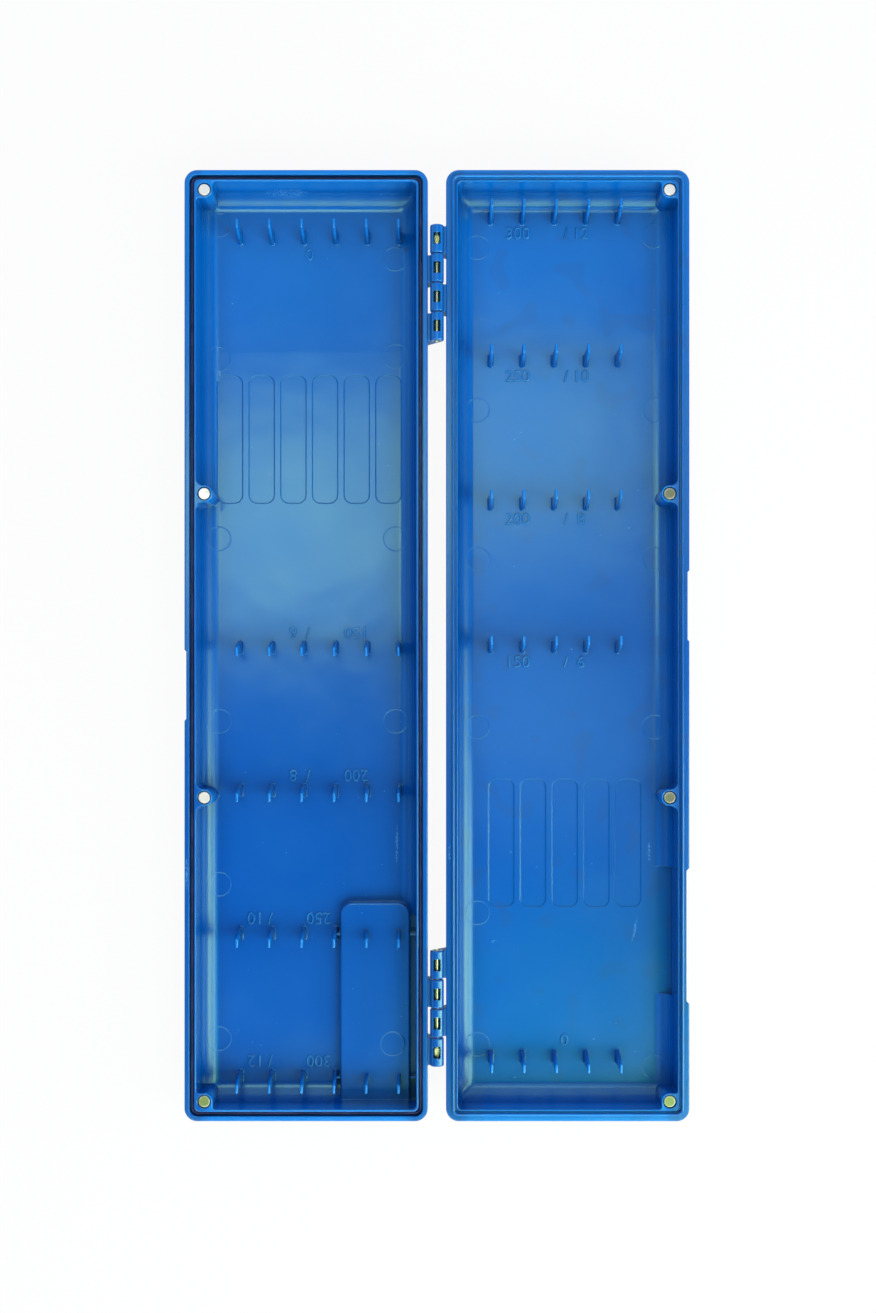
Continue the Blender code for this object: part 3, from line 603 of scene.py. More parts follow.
def ejector_marks(side):
    """Round marks of the mould's ejector pins, some of them over the fillet."""
    spots = [((u * MM, v * MM), 0.0) for u, along in EJECTOR_PLACES[side].items() for v in along]
    if side == BASE_SIDE:
        spots.append((PLATFORM_MARK, PLATFORM_TOP - FLOOR))
    return [mould_line(side, spot, MARK_RADIUS, MARK_RADIUS, MARK_RADIUS, MARK_POINTS, MARK_HEIGHT, lift)
            for spot, lift in spots]


def block(side, low, high):
    """An upright box between two corners in tray coordinates."""
    outline = np.array([(low[0], low[1]), (high[0], low[1]), (high[0], high[1]), (low[0], high[1])])
    return skin(on_side(side, prism(outline, low[2], high[2])))


def platform_outline(margin):
    """The platform's outline drawn in by a margin; its far end lies in the end wall."""
    radius = PLATFORM_CORNER - margin
    near, far = PLATFORM_NEAR + margin, PLATFORM_FAR - margin
    lead = row_front(min(PLATFORM_ROWS)) + PLATFORM_LEAD - margin
    end = WALL - HALF_LENGTH - OVERRUN
    return np.concatenate([
        [(near, end), (far, end)],
        arc((far - radius, lead - radius), radius, 0, 90, steps=12),
        arc((near + radius, lead - radius), radius, 90, 180, steps=12),
    ])


def platform(side):
    """The raised platform with a round top edge."""
    margins, heights = round_topped(FLOOR - OVERRUN, PLATFORM_TOP, PLATFORM_ROUND, steps=8)
    return [skin(on_side(side, lifted(np.stack([platform_outline(m) for m in margins]), heights)))]


def platform_slot(side):
    """The narrow slot between the platform and the hinge wall."""
    lead = row_front(min(PLATFORM_ROWS)) + PLATFORM_LEAD - PLATFORM_CORNER
    return [block(side, (HINGE_SIDE + WALL_AT_FLOOR, WALL_AT_FLOOR - HALF_LENGTH, FLOOR + SLOT_RISE),
                  (PLATFORM_NEAR, lead, FLOOR + FLOOR_FILLET))]


def platform_core(side):
    """The hollow under the platform."""
    outline = np.maximum(platform_outline(FLOOR), (0, FLOOR + WALL - HALF_LENGTH))
    return [skin(on_side(side, prism(outline, -OVERRUN, PLATFORM_TOP - FLOOR)))]


def ribs(side):
    """Round-topped ribs across the slot, and webs to the peg beside the platform."""
    top = PLATFORM_TOP - PLATFORM_ROUND
    margins, heights = round_topped(FLOOR - OVERRUN / 2, top, RIB_ROUND, steps=4)
    spans = ((HINGE_SIDE + WALL - OVERRUN, PLATFORM_NEAR + OVERRUN),
             (PLATFORM_FAR - OVERRUN, FIRST_COLUMN + 2 * COLUMN_PITCH))
    skins = []
    for length in PLATFORM_ROWS:
        middle = row_front(length) + RIB_SETBACK + RIB_THICKNESS / 2
        for low, high in spans:
            outlines = rounded_outlines(((low + high) / 2, middle), (high - low) / 2,
                                        RIB_THICKNESS / 2 - margins, RIB_CORNER, steps=2)
            skins.append(skin(on_side(side, lifted(outlines, heights))))
    return skins


def notch(side, centre, length, depth, bottom):
    """A shallow cut into the outer wall with its ends sloped at 45 degrees."""
    outside, inside = OUTER_SIDE + OVERRUN, OUTER_SIDE - depth
    half, slope = length / 2, depth + OVERRUN
    outline = np.array([(inside, centre - half), (outside, centre - half - slope),
                        (outside, centre + half + slope), (inside, centre + half)])
    return skin(on_side(side, prism(outline, bottom, RIM_Z + 3 * OVERRUN)))


def notches(side):
    """The thumb notch, and on the lid the long grip recess."""
    skins = [notch(side, THUMB_CENTRE, THUMB_LENGTH, THUMB_DEPTH, HINGE_Z - THUMB_HEIGHT)]
    if side == LID_SIDE:
        skins.append(notch(side, GRIP_CENTRE, GRIP_LENGTH, GRIP_DEPTH, HINGE_Z - GRIP_HEIGHT))
    return skins


def grip_corner(side):
    """Behind the grip recess the floor meets the wall without a fillet."""
    wall = OUTER_SIDE - WALL_AT_FLOOR
    return [block(side, (wall - FLOOR_FILLET - OVERRUN, GRIP_CENTRE - GRIP_LENGTH / 2, FLOOR),
                  (wall, GRIP_CENTRE + GRIP_LENGTH / 2, FLOOR + FLOOR_FILLET))]


def raised_number(side, text, u, v):
    """Skin of plain digits that stand on the floor and read away from the hinge."""
    curve = bpy.data.curves.new("digits", "FONT")
    curve.body = text
    curve.align_x = curve.align_y = "CENTER"
    curve.size = NUMBER_HEIGHT / CAP_HEIGHT_SHARE
    curve.extrude = (NUMBER_RAISE + OVERRUN) / 2
    curve.bevel_depth = NUMBER_EDGE
    curve.offset = -NUMBER_THINNED
    curve.resolution_u = CURVE_STEPS
    item = bpy.data.objects.new("digits", curve)
    bpy.context.scene.collection.objects.link(item)
    view = bpy.context.evaluated_depsgraph_get()
    mesh = bpy.data.meshes.new_from_object(item.evaluated_get(view))
    bpy.data.objects.remove(item)
    mend(mesh, merge=True)
    points = np.empty(len(mesh.vertices) * 3)
    mesh.vertices.foreach_get("co", points)
    level = FLOOR + (NUMBER_RAISE - OVERRUN) / 2
    points = points.reshape(-1, 3) * (side, side, 1) + (side * u, -side * v, level)
    return points, [np.array([face.vertices]) for face in mesh.polygons]


def raised_numbers(side):
    """Rig length and its inches behind each row, and a nought behind the hook row.

    Beside the platform they stand in the middle of the space that it leaves."""
    behind = PEG_LENGTH + NUMBER_GAP + NUMBER_HEIGHT / 2
    beside = (PLATFORM_FAR + OUTER_SIDE - WALL) / 2
    skins = [raised_number(side, "0", TRAY_CENTRE, HOOK_ROW - behind)]
    for length in RIG_LENGTHS:
        texts = (str(length), "/", str(length // INCH))
        centre = beside if side == BASE_SIDE and length in PLATFORM_ROWS else TRAY_CENTRE
        for text, place in zip(texts, NUMBER_PLACES):
            skins.append(raised_number(side, text, centre + place, row_front(length) + behind))
    return skins


def make_tray(name, side, rim):
    """A complete tray moulding: shell, floor marks, what stands on it, then the cuts."""
    on_base, on_lid = side == BASE_SIDE, side == LID_SIDE
    steps = (
        (CUT, "grip_corner", on_lid and grip_corner(side)),
        (CUT, "strips", strips(side)),
        (JOIN, "insert_marks", insert_marks(side)),
        (JOIN, "platform", on_base and platform(side)),
        (CUT, "platform_slot", on_base and platform_slot(side)),
        (JOIN, "ribs", on_base and ribs(side)),
        (JOIN, "ejector_marks", ejector_marks(side)),
        (JOIN, "bosses", magnet_bosses(side)),
        (JOIN, "pegs", peg_rows(side)),
        (JOIN, "numbers", raised_numbers(side)),
        (JOIN, "knuckles", knuckles(side)),
        (CUT, "bores", pin_bores()),
        (CUT, "windows", knuckle_windows(side)),
        (CUT, "pockets", magnet_pockets(side)),
        (CUT, "notches", notches(side)),
        (CUT, "platform_core", on_base and platform_core(side)),
    )
    tray = solid(name, [skin(tray_shell(side, rim))])
    tools = [(operation, solid(form, skins)) for operation, form, skins in steps if skins]
    return smooth(shape_with(tray, tools))


def make_seal():
    """A round cord in the groove: outlines at inset + r cos a, height + r sin a."""
    turn = np.linspace(0, 2 * np.pi, num=14, endpoint=False)
    outlines = tray_outlines(SEAL_INSET + SEAL_RADIUS * np.cos(turn))
    grid = lifted(outlines, SEAL_LEVEL + SEAL_RADIUS * np.sin(turn))
    return smooth(solid("seal_ring", [skin(on_side(BASE_SIDE, grid), looped=True)]))


def make_magnet(node):
    """A disc with rounded edges on the place of its CAD node."""
    low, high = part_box(node)
    middle = (low + high) / 2
    radius, half = (high.x - low.x) / 2, (high.z - low.z) / 2
    draw, rise = round_over(MAGNET_EDGE, steps=5)
    upper = np.stack([radius - draw, half - MAGNET_EDGE + rise], axis=1)[::-1]
    face = np.stack([FACE_RINGS * radius, np.full(len(FACE_RINGS), half)], axis=1)
    upper = np.concatenate([face, upper])
    profile = np.concatenate([upper, upper[::-1] * (1, -1)])
    return smooth(solid(node + "_disc", [skin(turned(profile, middle))]))


def make_pin(node):
    """A pin along the hinge with a knurled end towards the box's end.

    The radius over (length, angle) is the pin's own, plus the knurl's height
    times a diamond pattern of two opposite helices inside the knurled stretch."""
    low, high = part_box(node)
    centre = (low + high) / 2
    half = (high.y - low.y) / 2
    end = math.copysign(1, centre.y)
    middle = (KNUCKLE_COUNT - 1) / 2 * KNUCKLE_PITCH
    chamfer = np.array([half, half - PIN_CHAMFER])
    reach = KNURL_LENGTH / 2 + KNURL_HEIGHT
    knurl = np.linspace(middle + reach, middle - reach, KNURL_RINGS)
    plain = np.linspace(middle - KNURL_LENGTH, -half + PIN_CHAMFER, num=12)
    along = np.concatenate([chamfer, knurl, plain, [-half]])[:, None]
    turn = np.linspace(0, 2 * np.pi, KNURL_POINTS, endpoint=False)[None]
    lead = 2 * np.pi / KNURL_LEAD
    helices = (np.abs(np.sin(KNURL_TEETH / 2 * turn + lead * along / 2))
               * np.abs(np.sin(KNURL_TEETH / 2 * turn - lead * along / 2)))
    inside = np.clip((reach - np.abs(along - middle)) / KNURL_HEIGHT, 0, 1)
    nose = np.clip((np.abs(along) - half + PIN_CHAMFER) / PIN_CHAMFER, 0, 1) * PIN_CHAMFER
    radius = PIN_RADIUS - nose + KNURL_HEIGHT * inside * helices
    along = np.broadcast_to(along * end, radius.shape)
    grid = np.stack([radius * np.cos(turn), along, radius * np.sin(turn)], axis=2)
    return smooth(solid(node + "_knurled", [skin(grid + np.array(centre))]))


# The plastic's colours, with those of its painted edge highlights and painted corner shade
DEEP_BLUE = (0, 0.1, 0.46, 1)
BRIGHT_BLUE = (0, 0.2, 0.72, 1)
# Painted highlight along the edges
EDGE_HIGHLIGHT_BLUE = (0, 0.36, 0.95, 1)
FLECK_BLUE = (0.1, 0.42, 0.9, 1)
# Painted shade in corners, creases and round the roots of pegs
PAINTED_SHADE_BLUE = (0, 0.03, 0.17, 1)
STAIN_BROWN = (0.03, 0.05, 0.14, 1)
SHEEN_TINT = (0.46, 0.95, 0.38, 1)

# Share of each pattern in the plastic's colour, the painted light and shade among them
CLOUD_SHARE = 0.2
BROAD_SHARE = 0.25
UPPER_END_LIGHT_SHARE = 0.5
NUMBER_HIGHLIGHT_SHARE = 0.5
EDGE_HIGHLIGHT_SHARE = 0.6
PAINTED_SHADE_SHARE = 0.85
FLECK_SHARE = 0.5
STAIN_SHARE = 0.6
BLOTCH_SHARE = 0.12

# Noise scales
BROAD_SCALE = 16
CLOUD_SCALE = 45
RIPPLE_SCALE = 70
BLOTCH_SCALE = 110
FLECK_SCALE = 900
SCUFF_SCALE = 2400
GRAIN_SCALE = 3500
BLOOM_SCALE = 220
RUBBER_SCALE = 2500
PATCH_SCALE = 600
BRUSH_SCALE = 5000

# Noise levels at which each pattern starts to show and is full
FLECK_CUT = (0.8, 0.84)
SCUFF_CUT = (0.46, 0.6)
STAIN_CUT = (0.3, 0.6)
BLOTCH_CUT = (0.66, 0.72)
BLOOM_CUT = (0.35, 0.7)
PATCH_CUT = (0.4, 0.7)

# Heights over the floor and insets from the outer faces between which a mask fades
NUMBER_FOOT = (0.04 * MM, 0.2 * MM)
NUMBER_CROWN = (0.4 * MM, 0.6 * MM)
FILLET_FOOT = (0.2 * MM, 0.8 * MM)
FILLET_CROWN = (2.6 * MM, 3.8 * MM)
FLOOR_CROWN = (1 * MM, 0.4 * MM)
UNDERSIDE = (-0.4 * MM, -0.9 * MM)
OUTER_FACE = (1.7 * MM, 1.3 * MM)
RIM_FADE = 0.5 * MM
BLOTCHED_FROM = 10 * MM
# Where the painted light towards the upper end begins
UPPER_END_LIGHT_FROM = 40 * MM
GLOSS_LINE = 104 * MM
GLOSS_FADE = 1.5 * MM

# Roughness of the plastic, and the reach of its painted edge highlights and painted corner shade
SATIN = 0.22
POLISH = 0.05
OUTSIDE_ROUGH = 0.26
FILLET_ROUGH = 0.12
CLOUD_ROUGH = 0.12
FLECK_ROUGH = 0.2
EDGE_HIGHLIGHT_RADIUS = 0.35 * MM
EDGE_HIGHLIGHT_CUT = (0.01, 0.25)
PAINTED_SHADE_REACH = 12 * MM

# Scuffs and stains: centre and half sizes in mm, and a turn in degrees
SCUFFS = (((74.3, -71.5, 2), (0.6, 4, 2), 0), ((69.2, -99.3, 2), (0.6, 6.2, 2), -11),
          ((-14, -69.6, 3.5), (0.7, 11, 3), 0),
          ((-85.2, -77.5, 17), (0.8, 8, 2), 0), ((4.3, -70.7, 17), (0.6, 4.6, 2), 0),
          ((-52, 157.5, 7), (9, 3, 3.5), 0), ((20, -103, 2), (1.2, 0.5, 1), 20))
STAINS = (((-73.6, 146.2, 3), (1.4, 0.9, 3), 30), ((-10.9, 139.2, 4), (1.2, 1.8, 4), 0),
          ((75, 153.5, 4), (1.8, 1, 4), -20), ((76.9, 47.2, 3), (0.35, 6.4, 3), -8))

# Rubber and metals
RUBBER_GREY = (0.012, 0.018, 0.09, 1)
BLOOM_GREY = (0.04, 0.05, 0.16, 1)
RUBBER_ROUGH = 0.5
BLOOM_ROUGH = 0.2
NICKEL_BRIGHT = (0.95, 0.93, 0.82, 1)
NICKEL_DULL = (0.86, 0.84, 0.7, 1)
STEEL_BRIGHT = (0.95, 1, 0.55, 1)
STEEL_DULL = (0.6, 0.65, 0.28, 1)
# Painted dark reflection on some magnets, tinted lime at the lower end
PAINTED_DARK_REFLECTION = (0.11, 0.14, 0.05, 1)
LIME_PAINTED_REFLECTION = (0.15, 0.25, 0.005, 1)
PAINTED_REFLECTION_SHARE = 0.9
BRIGHT_RING_RADIUS = 0.75 * MM
RING_CUT = (0.02, 0.1)
PATCH_ROUGH = 0.18
PAINTED_REFLECTION_ACROSS = (9 * MM, 11 * MM)
PAINTED_REFLECTION_ALONG = (140 * MM, 120 * MM)
LIME_ALONG = (-125 * MM, -140 * MM)

# Sockets of a Mix node that blends colours
MIX_FACTOR = 0
MIX_FIRST = 6
MIX_SECOND = 7
MIX_RESULT = 2


class Shade:
    """An output socket of a material's nodes, so that shader maths reads as Python."""

    def __init__(self, tree, socket=None):
        self.tree = tree
        self.socket = socket

    def node(self, kind, settings=None, sockets=None, output=0):
        """Add a node: its settings first, then each socket's link or plain value.
        Returns the output asked for."""
        made = self.tree.nodes.new("ShaderNode" + kind)
        for key, value in (settings or {}).items():
            setattr(made, key, value)
        for key, value in (sockets or {}).items():
            if isinstance(value, Shade):
                self.tree.links.new(value.socket, made.inputs[key])
            else:
                made.inputs[key].default_value = value
        return Shade(self.tree, made.outputs[output])

    def maths(self, operation, first, second=0.0):
        """A Math node on one value or two."""
        return self.node("Math", {"operation": operation}, {0: first, 1: second})

    def __add__(self, other):
        return self.maths("ADD", self, other)

    def __radd__(self, other):
        return self.maths("ADD", other, self)

    def __sub__(self, other):
        return self.maths("SUBTRACT", self, other)

    def __rsub__(self, other):
        return self.maths("SUBTRACT", other, self)

    def __mul__(self, other):
        return self.maths("MULTIPLY", self, other)

    def __rmul__(self, other):
        return self.maths("MULTIPLY", other, self)

    def __abs__(self):
        return self.maths("ABSOLUTE", self)

    def noise(self, place, scale, detail):
        """Noise of a given scale at a place, about 0.5 on average."""
        return self.node("TexNoise", None, {"Vector": place, "Scale": scale, "Detail": detail})

    def between(self, value, low, high):
        """0 at low and 1 at high, smooth between; low may be the larger."""
        return self.node("MapRange", {"interpolation_type": "SMOOTHSTEP"},
                         {"Value": value, "From Min": low, "From Max": high})

    def mix(self, factor, first, second):
        """Blend of two colours."""
        sockets = {MIX_FACTOR: factor, MIX_FIRST: first, MIX_SECOND: second}
        return self.node("Mix", {"data_type": "RGBA"}, sockets, MIX_RESULT)

    def bump(self, height, strength, distance, over=None):
        """Normal of a surface raised by a height, over another normal if one is given."""
        sockets = {"Height": height, "Strength": strength, "Distance": distance}
        if over:
            sockets["Normal"] = over
        return self.node("Bump", None, sockets)


def new_material(name, constants):
    """A material whose shader has these constants. Returns it, its shader and a Shade."""
    material = bpy.data.materials.new(name)
    material.use_nodes = True
    shader = material.node_tree.nodes["Principled BSDF"]
    for key, value in constants.items():
        shader.inputs[key].default_value = value
    return material, shader, Shade(material.node_tree)


def link(shader, **sockets):
    """Feed shader sockets, named with underscores for spaces."""
    for key, value in sockets.items():
        value.tree.links.new(value.socket, shader.inputs[key.replace("_", " ")])


def object_place(shade):
    """The place on a piece as a vector, and its parts across, along and up."""
    place = shade.node("TexCoord", output="Object")
    return place, *(shade.node("SeparateXYZ", None, {0: place}, part) for part in range(3))


def worn_edge(shade, radius, cut):
    """1 within a radius of an edge, and the normal as if the edge were round."""
    rounded = shade.node("Bevel", {"samples": 4}, {"Radius": radius})
    flat = shade.node("NewGeometry", output="Normal")
    facing = shade.node("VectorMath", {"operation": "DOT_PRODUCT"}, {0: rounded, 1: flat}, "Value")
    return shade.between(1 - facing, *cut), rounded


def marks(place, spots):
    """1 in the inner half of oval spots, given as centre and half sizes in mm and a
    turn in degrees, falling to 0 at their edges."""
    total = 0.0
    for centre, half, turn in spots:
        reach = place.node("Mapping", {"vector_type": "TEXTURE"}, {
            0: place, "Location": Vector(centre) * MM, "Scale": Vector(half) * MM,
            "Rotation": (0, 0, math.radians(turn))})
        reach = place.node("VectorMath", {"operation": "LENGTH"}, {0: reach}, "Value")
        total = 1 - place.between(reach, 0.5, 1) + total
    return total


def flaws(shade, place, across):
    """Two masks: pale flecks and scuffs, and dark stains with the lid's blotches."""
    fleck = shade.between(shade.noise(place, FLECK_SCALE, detail=1), *FLECK_CUT)
    broken = shade.noise(place, SCUFF_SCALE, detail=2)
    fleck = fleck + marks(place, SCUFFS) * shade.between(broken, *SCUFF_CUT)
    stain = marks(place, STAINS) * shade.between(broken, *STAIN_CUT)
    blotch = shade.between(shade.noise(place, BLOTCH_SCALE, detail=0), *BLOTCH_CUT)
    blotch = blotch * shade.between(across, 0, BLOTCHED_FROM)
    return fleck, stain * STAIN_SHARE + blotch * BLOTCH_SHARE


def blue_plastic():
    """Satin moulded plastic: paler on pegs, numbers and edges by painted highlights and
    towards the upper end by painted light, darker in corners by painted shade, softly
    clouded, with flecks, scuffs and stains. It is rougher outside and low in the
    fillets, and glossier on the floors' upper end."""
    material, shader, shade = new_material("satin_blue_plastic", {"IOR": 1.5, "Specular IOR Level": 1.0,
                                                                  "Specular Tint": SHEEN_TINT})
    place, across, along, height = object_place(shade)

    def over_floor(low, high):
        """0 at the first height over the floor, 1 at the second."""
        return shade.between(height, FLOOR + low, FLOOR + high)

    off_centre = abs(abs(across) - TRAY_CENTRE)
    inside = shade.between(off_centre, TRAY_WIDTH / 2 - WALL, TRAY_WIDTH / 2 - WALL - FLOOR_FILLET)
    sides = shade.between(off_centre, *(TRAY_WIDTH / 2 - inset for inset in OUTER_FACE))
    ends = shade.between(abs(along), *(HALF_LENGTH - inset for inset in OUTER_FACE))
    walls = shade.maths("MAXIMUM", sides, ends) * shade.between(height, RIM_Z, RIM_Z - RIM_FADE)
    under = over_floor(*UNDERSIDE)
    outside = shade.maths("MAXIMUM", walls, under)
    number = over_floor(*NUMBER_FOOT) - over_floor(*NUMBER_CROWN)
    on_fillet = over_floor(*FILLET_FOOT) - over_floor(*FILLET_CROWN)
    on_floor = over_floor(*FLOOR_CROWN) * (1 - under)

    cloud = shade.noise(place, CLOUD_SCALE, detail=3) - 0.5
    broad = shade.noise(place, BROAD_SCALE, detail=2) - 0.5
    # Painted highlight: pegs paler the higher they stand, and number tops paler
    raised = number * NUMBER_HIGHLIGHT_SHARE + shade.between(height, PLATFORM_TOP, PEG_TIP_Z)
    # Painted light: paler towards the upper end, where more light falls
    upper_end_light = shade.between(along, UPPER_END_LIGHT_FROM, HALF_LENGTH) * UPPER_END_LIGHT_SHARE
    lift = raised * inside + upper_end_light + cloud * CLOUD_SHARE + broad * BROAD_SHARE
    # Painted highlight: paler and more cyan within a small radius of every edge
    edge, rounded = worn_edge(shade, EDGE_HIGHLIGHT_RADIUS, EDGE_HIGHLIGHT_CUT)
    # Painted shade: darker where an occlusion test finds nearby surfaces
    open_air = shade.node("AmbientOcclusion", {"samples": 4, "only_local": True},
                          {"Distance": PAINTED_SHADE_REACH}, "AO")
    fleck, stain = flaws(shade, place, across)
    colour = shade.mix(lift, DEEP_BLUE, BRIGHT_BLUE)
    colour = shade.mix(edge * EDGE_HIGHLIGHT_SHARE, colour, EDGE_HIGHLIGHT_BLUE)
    colour = shade.mix((1 - open_air) * PAINTED_SHADE_SHARE, colour, PAINTED_SHADE_BLUE)
    colour = shade.mix(fleck * FLECK_SHARE, colour, FLECK_BLUE)
    colour = shade.mix(stain, colour, STAIN_BROWN)

    grain = shade.noise(place, GRAIN_SCALE, detail=2) * (1 + outside)
    ripple = shade.noise(place, RIPPLE_SCALE, detail=1)
    grained = shade.bump(grain, strength=0.12, distance=0.05 * MM, over=rounded)
    rippled = shade.bump(ripple, strength=0.35, distance=0.4 * MM, over=grained)
    polished = shade.between(along, GLOSS_LINE - GLOSS_FADE, GLOSS_LINE) * POLISH * on_floor
    rough = SATIN - polished + outside * OUTSIDE_ROUGH + on_fillet * FILLET_ROUGH
    rough = rough + cloud * CLOUD_ROUGH + fleck * FLECK_ROUGH
    link(shader, Base_Color=colour, Roughness=rough, Normal=rippled)
    return material


def grey_rubber():
    """Matt purple-grey rubber with a fine bloom."""
    material, shader, shade = new_material("seal_rubber", {"IOR": 1.5})
    place = object_place(shade)[0]
    bloom = shade.between(shade.noise(place, BLOOM_SCALE, detail=3), *BLOOM_CUT)
    colour = shade.mix(bloom, RUBBER_GREY, BLOOM_GREY)
    grained = shade.bump(shade.noise(place, RUBBER_SCALE, detail=2), strength=0.25, distance=0.05 * MM)
    link(shader, Base_Color=colour, Roughness=RUBBER_ROUGH + bloom * BLOOM_ROUGH, Normal=grained)
    return material


def plated_metal(name, bright, dull, gloss, metallic):
    """Plated metal: brushed scratches and dulled patches, and a painted dark reflection
    inside a bright ring along its edge, on the lid but for its upper end and in the
    base's lower corner. The painted reflection is tinted lime at the lower end."""
    material, shader, shade = new_material(name, {"Metallic": metallic})
    place, across, along, _ = object_place(shade)
    # A bright ring along the edge is kept free of the painted reflection
    ring = worn_edge(shade, BRIGHT_RING_RADIUS, RING_CUT)[0]
    on_lid = shade.between(across, *PAINTED_REFLECTION_ACROSS) * shade.between(along, *PAINTED_REFLECTION_ALONG)
    low_corner = shade.between(across + along, -HALF_LENGTH, -HALF_LENGTH - OUTER_SIDE / 2)
    # Painted dark reflection: the lid's magnets but the upper one, and the base's lower corner one
    painted_reflection = shade.maths("MAXIMUM", on_lid, low_corner)
    patch = shade.between(shade.noise(place, PATCH_SCALE, detail=3), *PATCH_CUT)
    colour = shade.mix(patch, bright, dull)
    # The painted reflection is tinted lime towards the lower end
    reflection_colour = shade.mix(shade.between(along, *LIME_ALONG), PAINTED_DARK_REFLECTION, LIME_PAINTED_REFLECTION)
    colour = shade.mix(painted_reflection * (1 - ring) * PAINTED_REFLECTION_SHARE, colour, reflection_colour)
    brushed = shade.node("Mapping", None, {0: place, "Scale": (1, 0.08, 1)})
    scratched = shade.bump(shade.noise(brushed, BRUSH_SCALE, detail=2), strength=0.2, distance=0.02 * MM)
    link(shader, Base_Color=colour, Roughness=gloss + patch * PATCH_ROUGH, Normal=scratched)
    return material


def dress(item, body, slot, material, *nodes):
    """Give a piece its material and body, and hide the CAD nodes it stands for."""
    item.data.materials.clear()
    item.data.materials.append(material)
    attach(item, body)
    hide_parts(*nodes)


def make_box():
    """Every visible piece, on its body."""
    plastic = blue_plastic()
    nickel = plated_metal("nickel_plate", NICKEL_BRIGHT, NICKEL_DULL, gloss=0.3, metallic=0.4)
    steel = plated_metal("pin_steel", STEEL_BRIGHT, STEEL_DULL, gloss=0.2, metallic=1)
    for body, side, rim in (("base", BASE_SIDE, base_rim()), ("lid", LID_SIDE, lid_rim())):
        dress(make_tray(body + "_moulding", side, rim), body, "blue_plastic", plastic, body + "_tray")
    dress(make_seal(), "base", "seal_rubber", grey_rubber(), "seal_cord")
    for body, nodes in frame["record"]["behaviour"]["bodies"].items():
        for node in nodes:
            if "magnet" in node:
                dress(make_magnet(node), body, "nickel", nickel, node)
            if "pin" in node:
                dress(make_pin(node), body, "pin_steel", steel, node)


CAMERA_HEIGHT = 545 * MM
CAMERA_Y = -19.9 * MM
CAMERA_LENS = 43.9
CAMERA_SHIFT = (0.0008, 0.0362)

PLAIN_LIGHT = (1, 1, 1)
GARDEN_LIGHT = (0.05, 1, 0.1)
WARM_LIGHT = (1, 1, 0.82)
SKY_LIGHT = (0.8, 0.93, 1.1)
EVENING_LIGHT = (0.95, 1, 1.1)
DUSK_LIGHT = (0.7, 0.8, 1.3)

# Panels under the ceiling: place across and along in mm, size in m, radiance, colour
CEILING = 0.62
CEILING_PANELS = (
    ("overhead_left", -110, 115, (0.18, 0.155), 4.2, PLAIN_LIGHT),
    ("overhead_right", 70, 165, (0.13, 0.15), 2.6, PLAIN_LIGHT),
    ("overhead_back", 0, 340, (0.5, 0.22), 0.4, SKY_LIGHT),
    ("overhead_edge", 163, 150, (0.026, 0.16), 2.8, PLAIN_LIGHT),
    ("overhead_low", 80, -36, (0.15, 0.09), 1.2, PLAIN_LIGHT),
    ("overhead_far", 495, -265, (0.5, 0.36), 4.4, PLAIN_LIGHT),
    ("overhead_front", 170, -310, (0.32, 0.26), 0.9, GARDEN_LIGHT),
)

# Windows round the box: azimuth, elevation and spread in degrees, radiance, colour
WINDOW_DISTANCE = 0.9
ROOM_WINDOWS = (
    ("right_window", -19, 19, (30, 30), 7.5, WARM_LIGHT),
    ("front_window", -90, 45, (56, 34), 3.2, EVENING_LIGHT),
    ("back_window", 90, 36, (56, 40), 1.2, DUSK_LIGHT),
    ("left_window", 160, 34, (40, 52), 0.35, SKY_LIGHT),
)

DIM_ROOM = (0.08, 0.08, 0.08, 1)
HORIZON = (0.94, 0.94, 0.94, 1)
HORIZON_FADE = (0.35, 0.2)
TABLE_REACH = 40.0
TABLE_BOTTOM = -0.05
TABLE_TOP = -0.05 * MM
TABLE_WHITE = (0.8, 0.8, 0.8, 1)
TABLE_GLOW_SHARE = 0.93


def make_camera():
    """Straight down from above, a little below the middle, as the photograph was taken."""
    data = bpy.data.cameras.new("camera")
    data.lens = CAMERA_LENS
    data.shift_x, data.shift_y = CAMERA_SHIFT
    camera = bpy.data.objects.new("camera", data)
    camera.location = (0, CAMERA_Y, RIM_Z + CAMERA_HEIGHT)
    bpy.context.scene.collection.objects.link(camera)
    bpy.context.scene.camera = camera


def soft_panel(name, centre, size, aim, radiance, colour):
    """A rectangular lamp with a given radiance, turned towards a point."""
    data = bpy.data.lights.new(name, "AREA")
    data.shape = "RECTANGLE"
    data.size, data.size_y = size
    data.energy = radiance * math.pi * size[0] * size[1]
    data.color = colour
    lamp = bpy.data.objects.new(name, data)
    lamp.location = centre
    lamp.rotation_mode = "QUATERNION"
    lamp.rotation_quaternion = (Vector(aim) - Vector(centre)).to_track_quat("-Z", "Y")
    lamp.visible_camera = False
    bpy.context.scene.collection.objects.link(lamp)


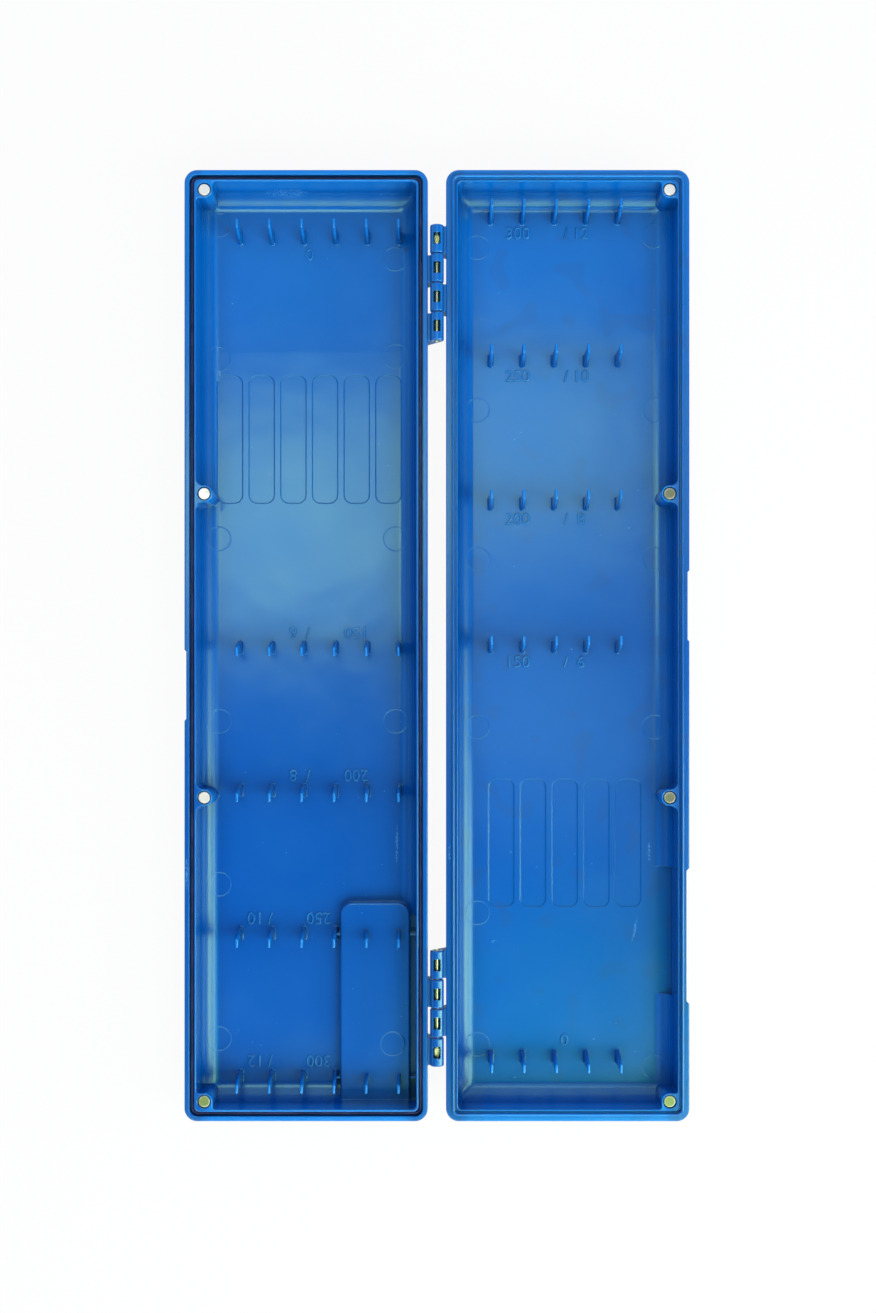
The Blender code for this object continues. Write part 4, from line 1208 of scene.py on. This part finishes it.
def room_window(name, azimuth, elevation, spread, radiance, colour):
    """A soft panel on a sphere round the box, facing it. Its direction is given in
    degrees, and so is its spread, across and up, as the box sees it."""
    turn, rise = math.radians(azimuth), math.radians(elevation)
    away = Vector((math.cos(rise) * math.cos(turn), math.cos(rise) * math.sin(turn), math.sin(rise)))
    size = [2 * WINDOW_DISTANCE * math.tan(math.radians(angle / 2)) for angle in spread]
    soft_panel(name, away * WINDOW_DISTANCE, size, (0, 0, 0), radiance, colour)


def background_seen(shade):
    """1 for what the camera sees, and what shows in mirrors and through glass."""
    kinds = ("Camera", "Glossy", "Transmission")
    return sum(shade.node("LightPath", output=f"Is {kind} Ray") for kind in kinds)


def studio_world():
    """Dim overhead, so that the panels shape the light, and white along the horizon
    to the camera, to mirrors and through glass."""
    world = bpy.data.worlds.new("studio")
    world.use_nodes = True
    bpy.context.scene.world = world
    shade = Shade(world.node_tree)
    upward = shade.node("SeparateXYZ", None, {0: shade.node("TexCoord", output="Generated")}, 2)
    horizon = background_seen(shade) * shade.between(upward, *HORIZON_FADE)
    link(world.node_tree.nodes["Background"], Color=shade.mix(horizon, DIM_ROOM, HORIZON))


def studio_floor():
    """A white table top: mostly its own white to the camera, with the box's shadow."""
    outline = TABLE_REACH * np.array([(-1, -1), (1, -1), (1, 1), (-1, 1)])
    floor = solid("table", [skin(prism(outline, TABLE_BOTTOM, TABLE_TOP))])
    material, _, shade = new_material("table_white", {})
    matt = shade.node("BsdfDiffuse", None, {"Color": TABLE_WHITE})
    glow = shade.node("Emission")
    share = background_seen(shade) * TABLE_GLOW_SHARE
    surface = shade.node("MixShader", None, {0: share, 1: matt, 2: glow})
    link(material.node_tree.nodes["Material Output"], Surface=surface)
    floor.data.materials.append(material)


def make_studio():
    """World, table, soft panels under the ceiling and windows all round."""
    studio_world()
    studio_floor()
    for name, x, y, size, radiance, colour in CEILING_PANELS:
        soft_panel(name, (x * MM, y * MM, CEILING), size, (x * MM, y * MM, 0), radiance, colour)
    for row in ROOM_WINDOWS:
        room_window(*row)
    bpy.context.scene.view_settings.view_transform = "Standard"


make_box()
make_camera()
make_studio()
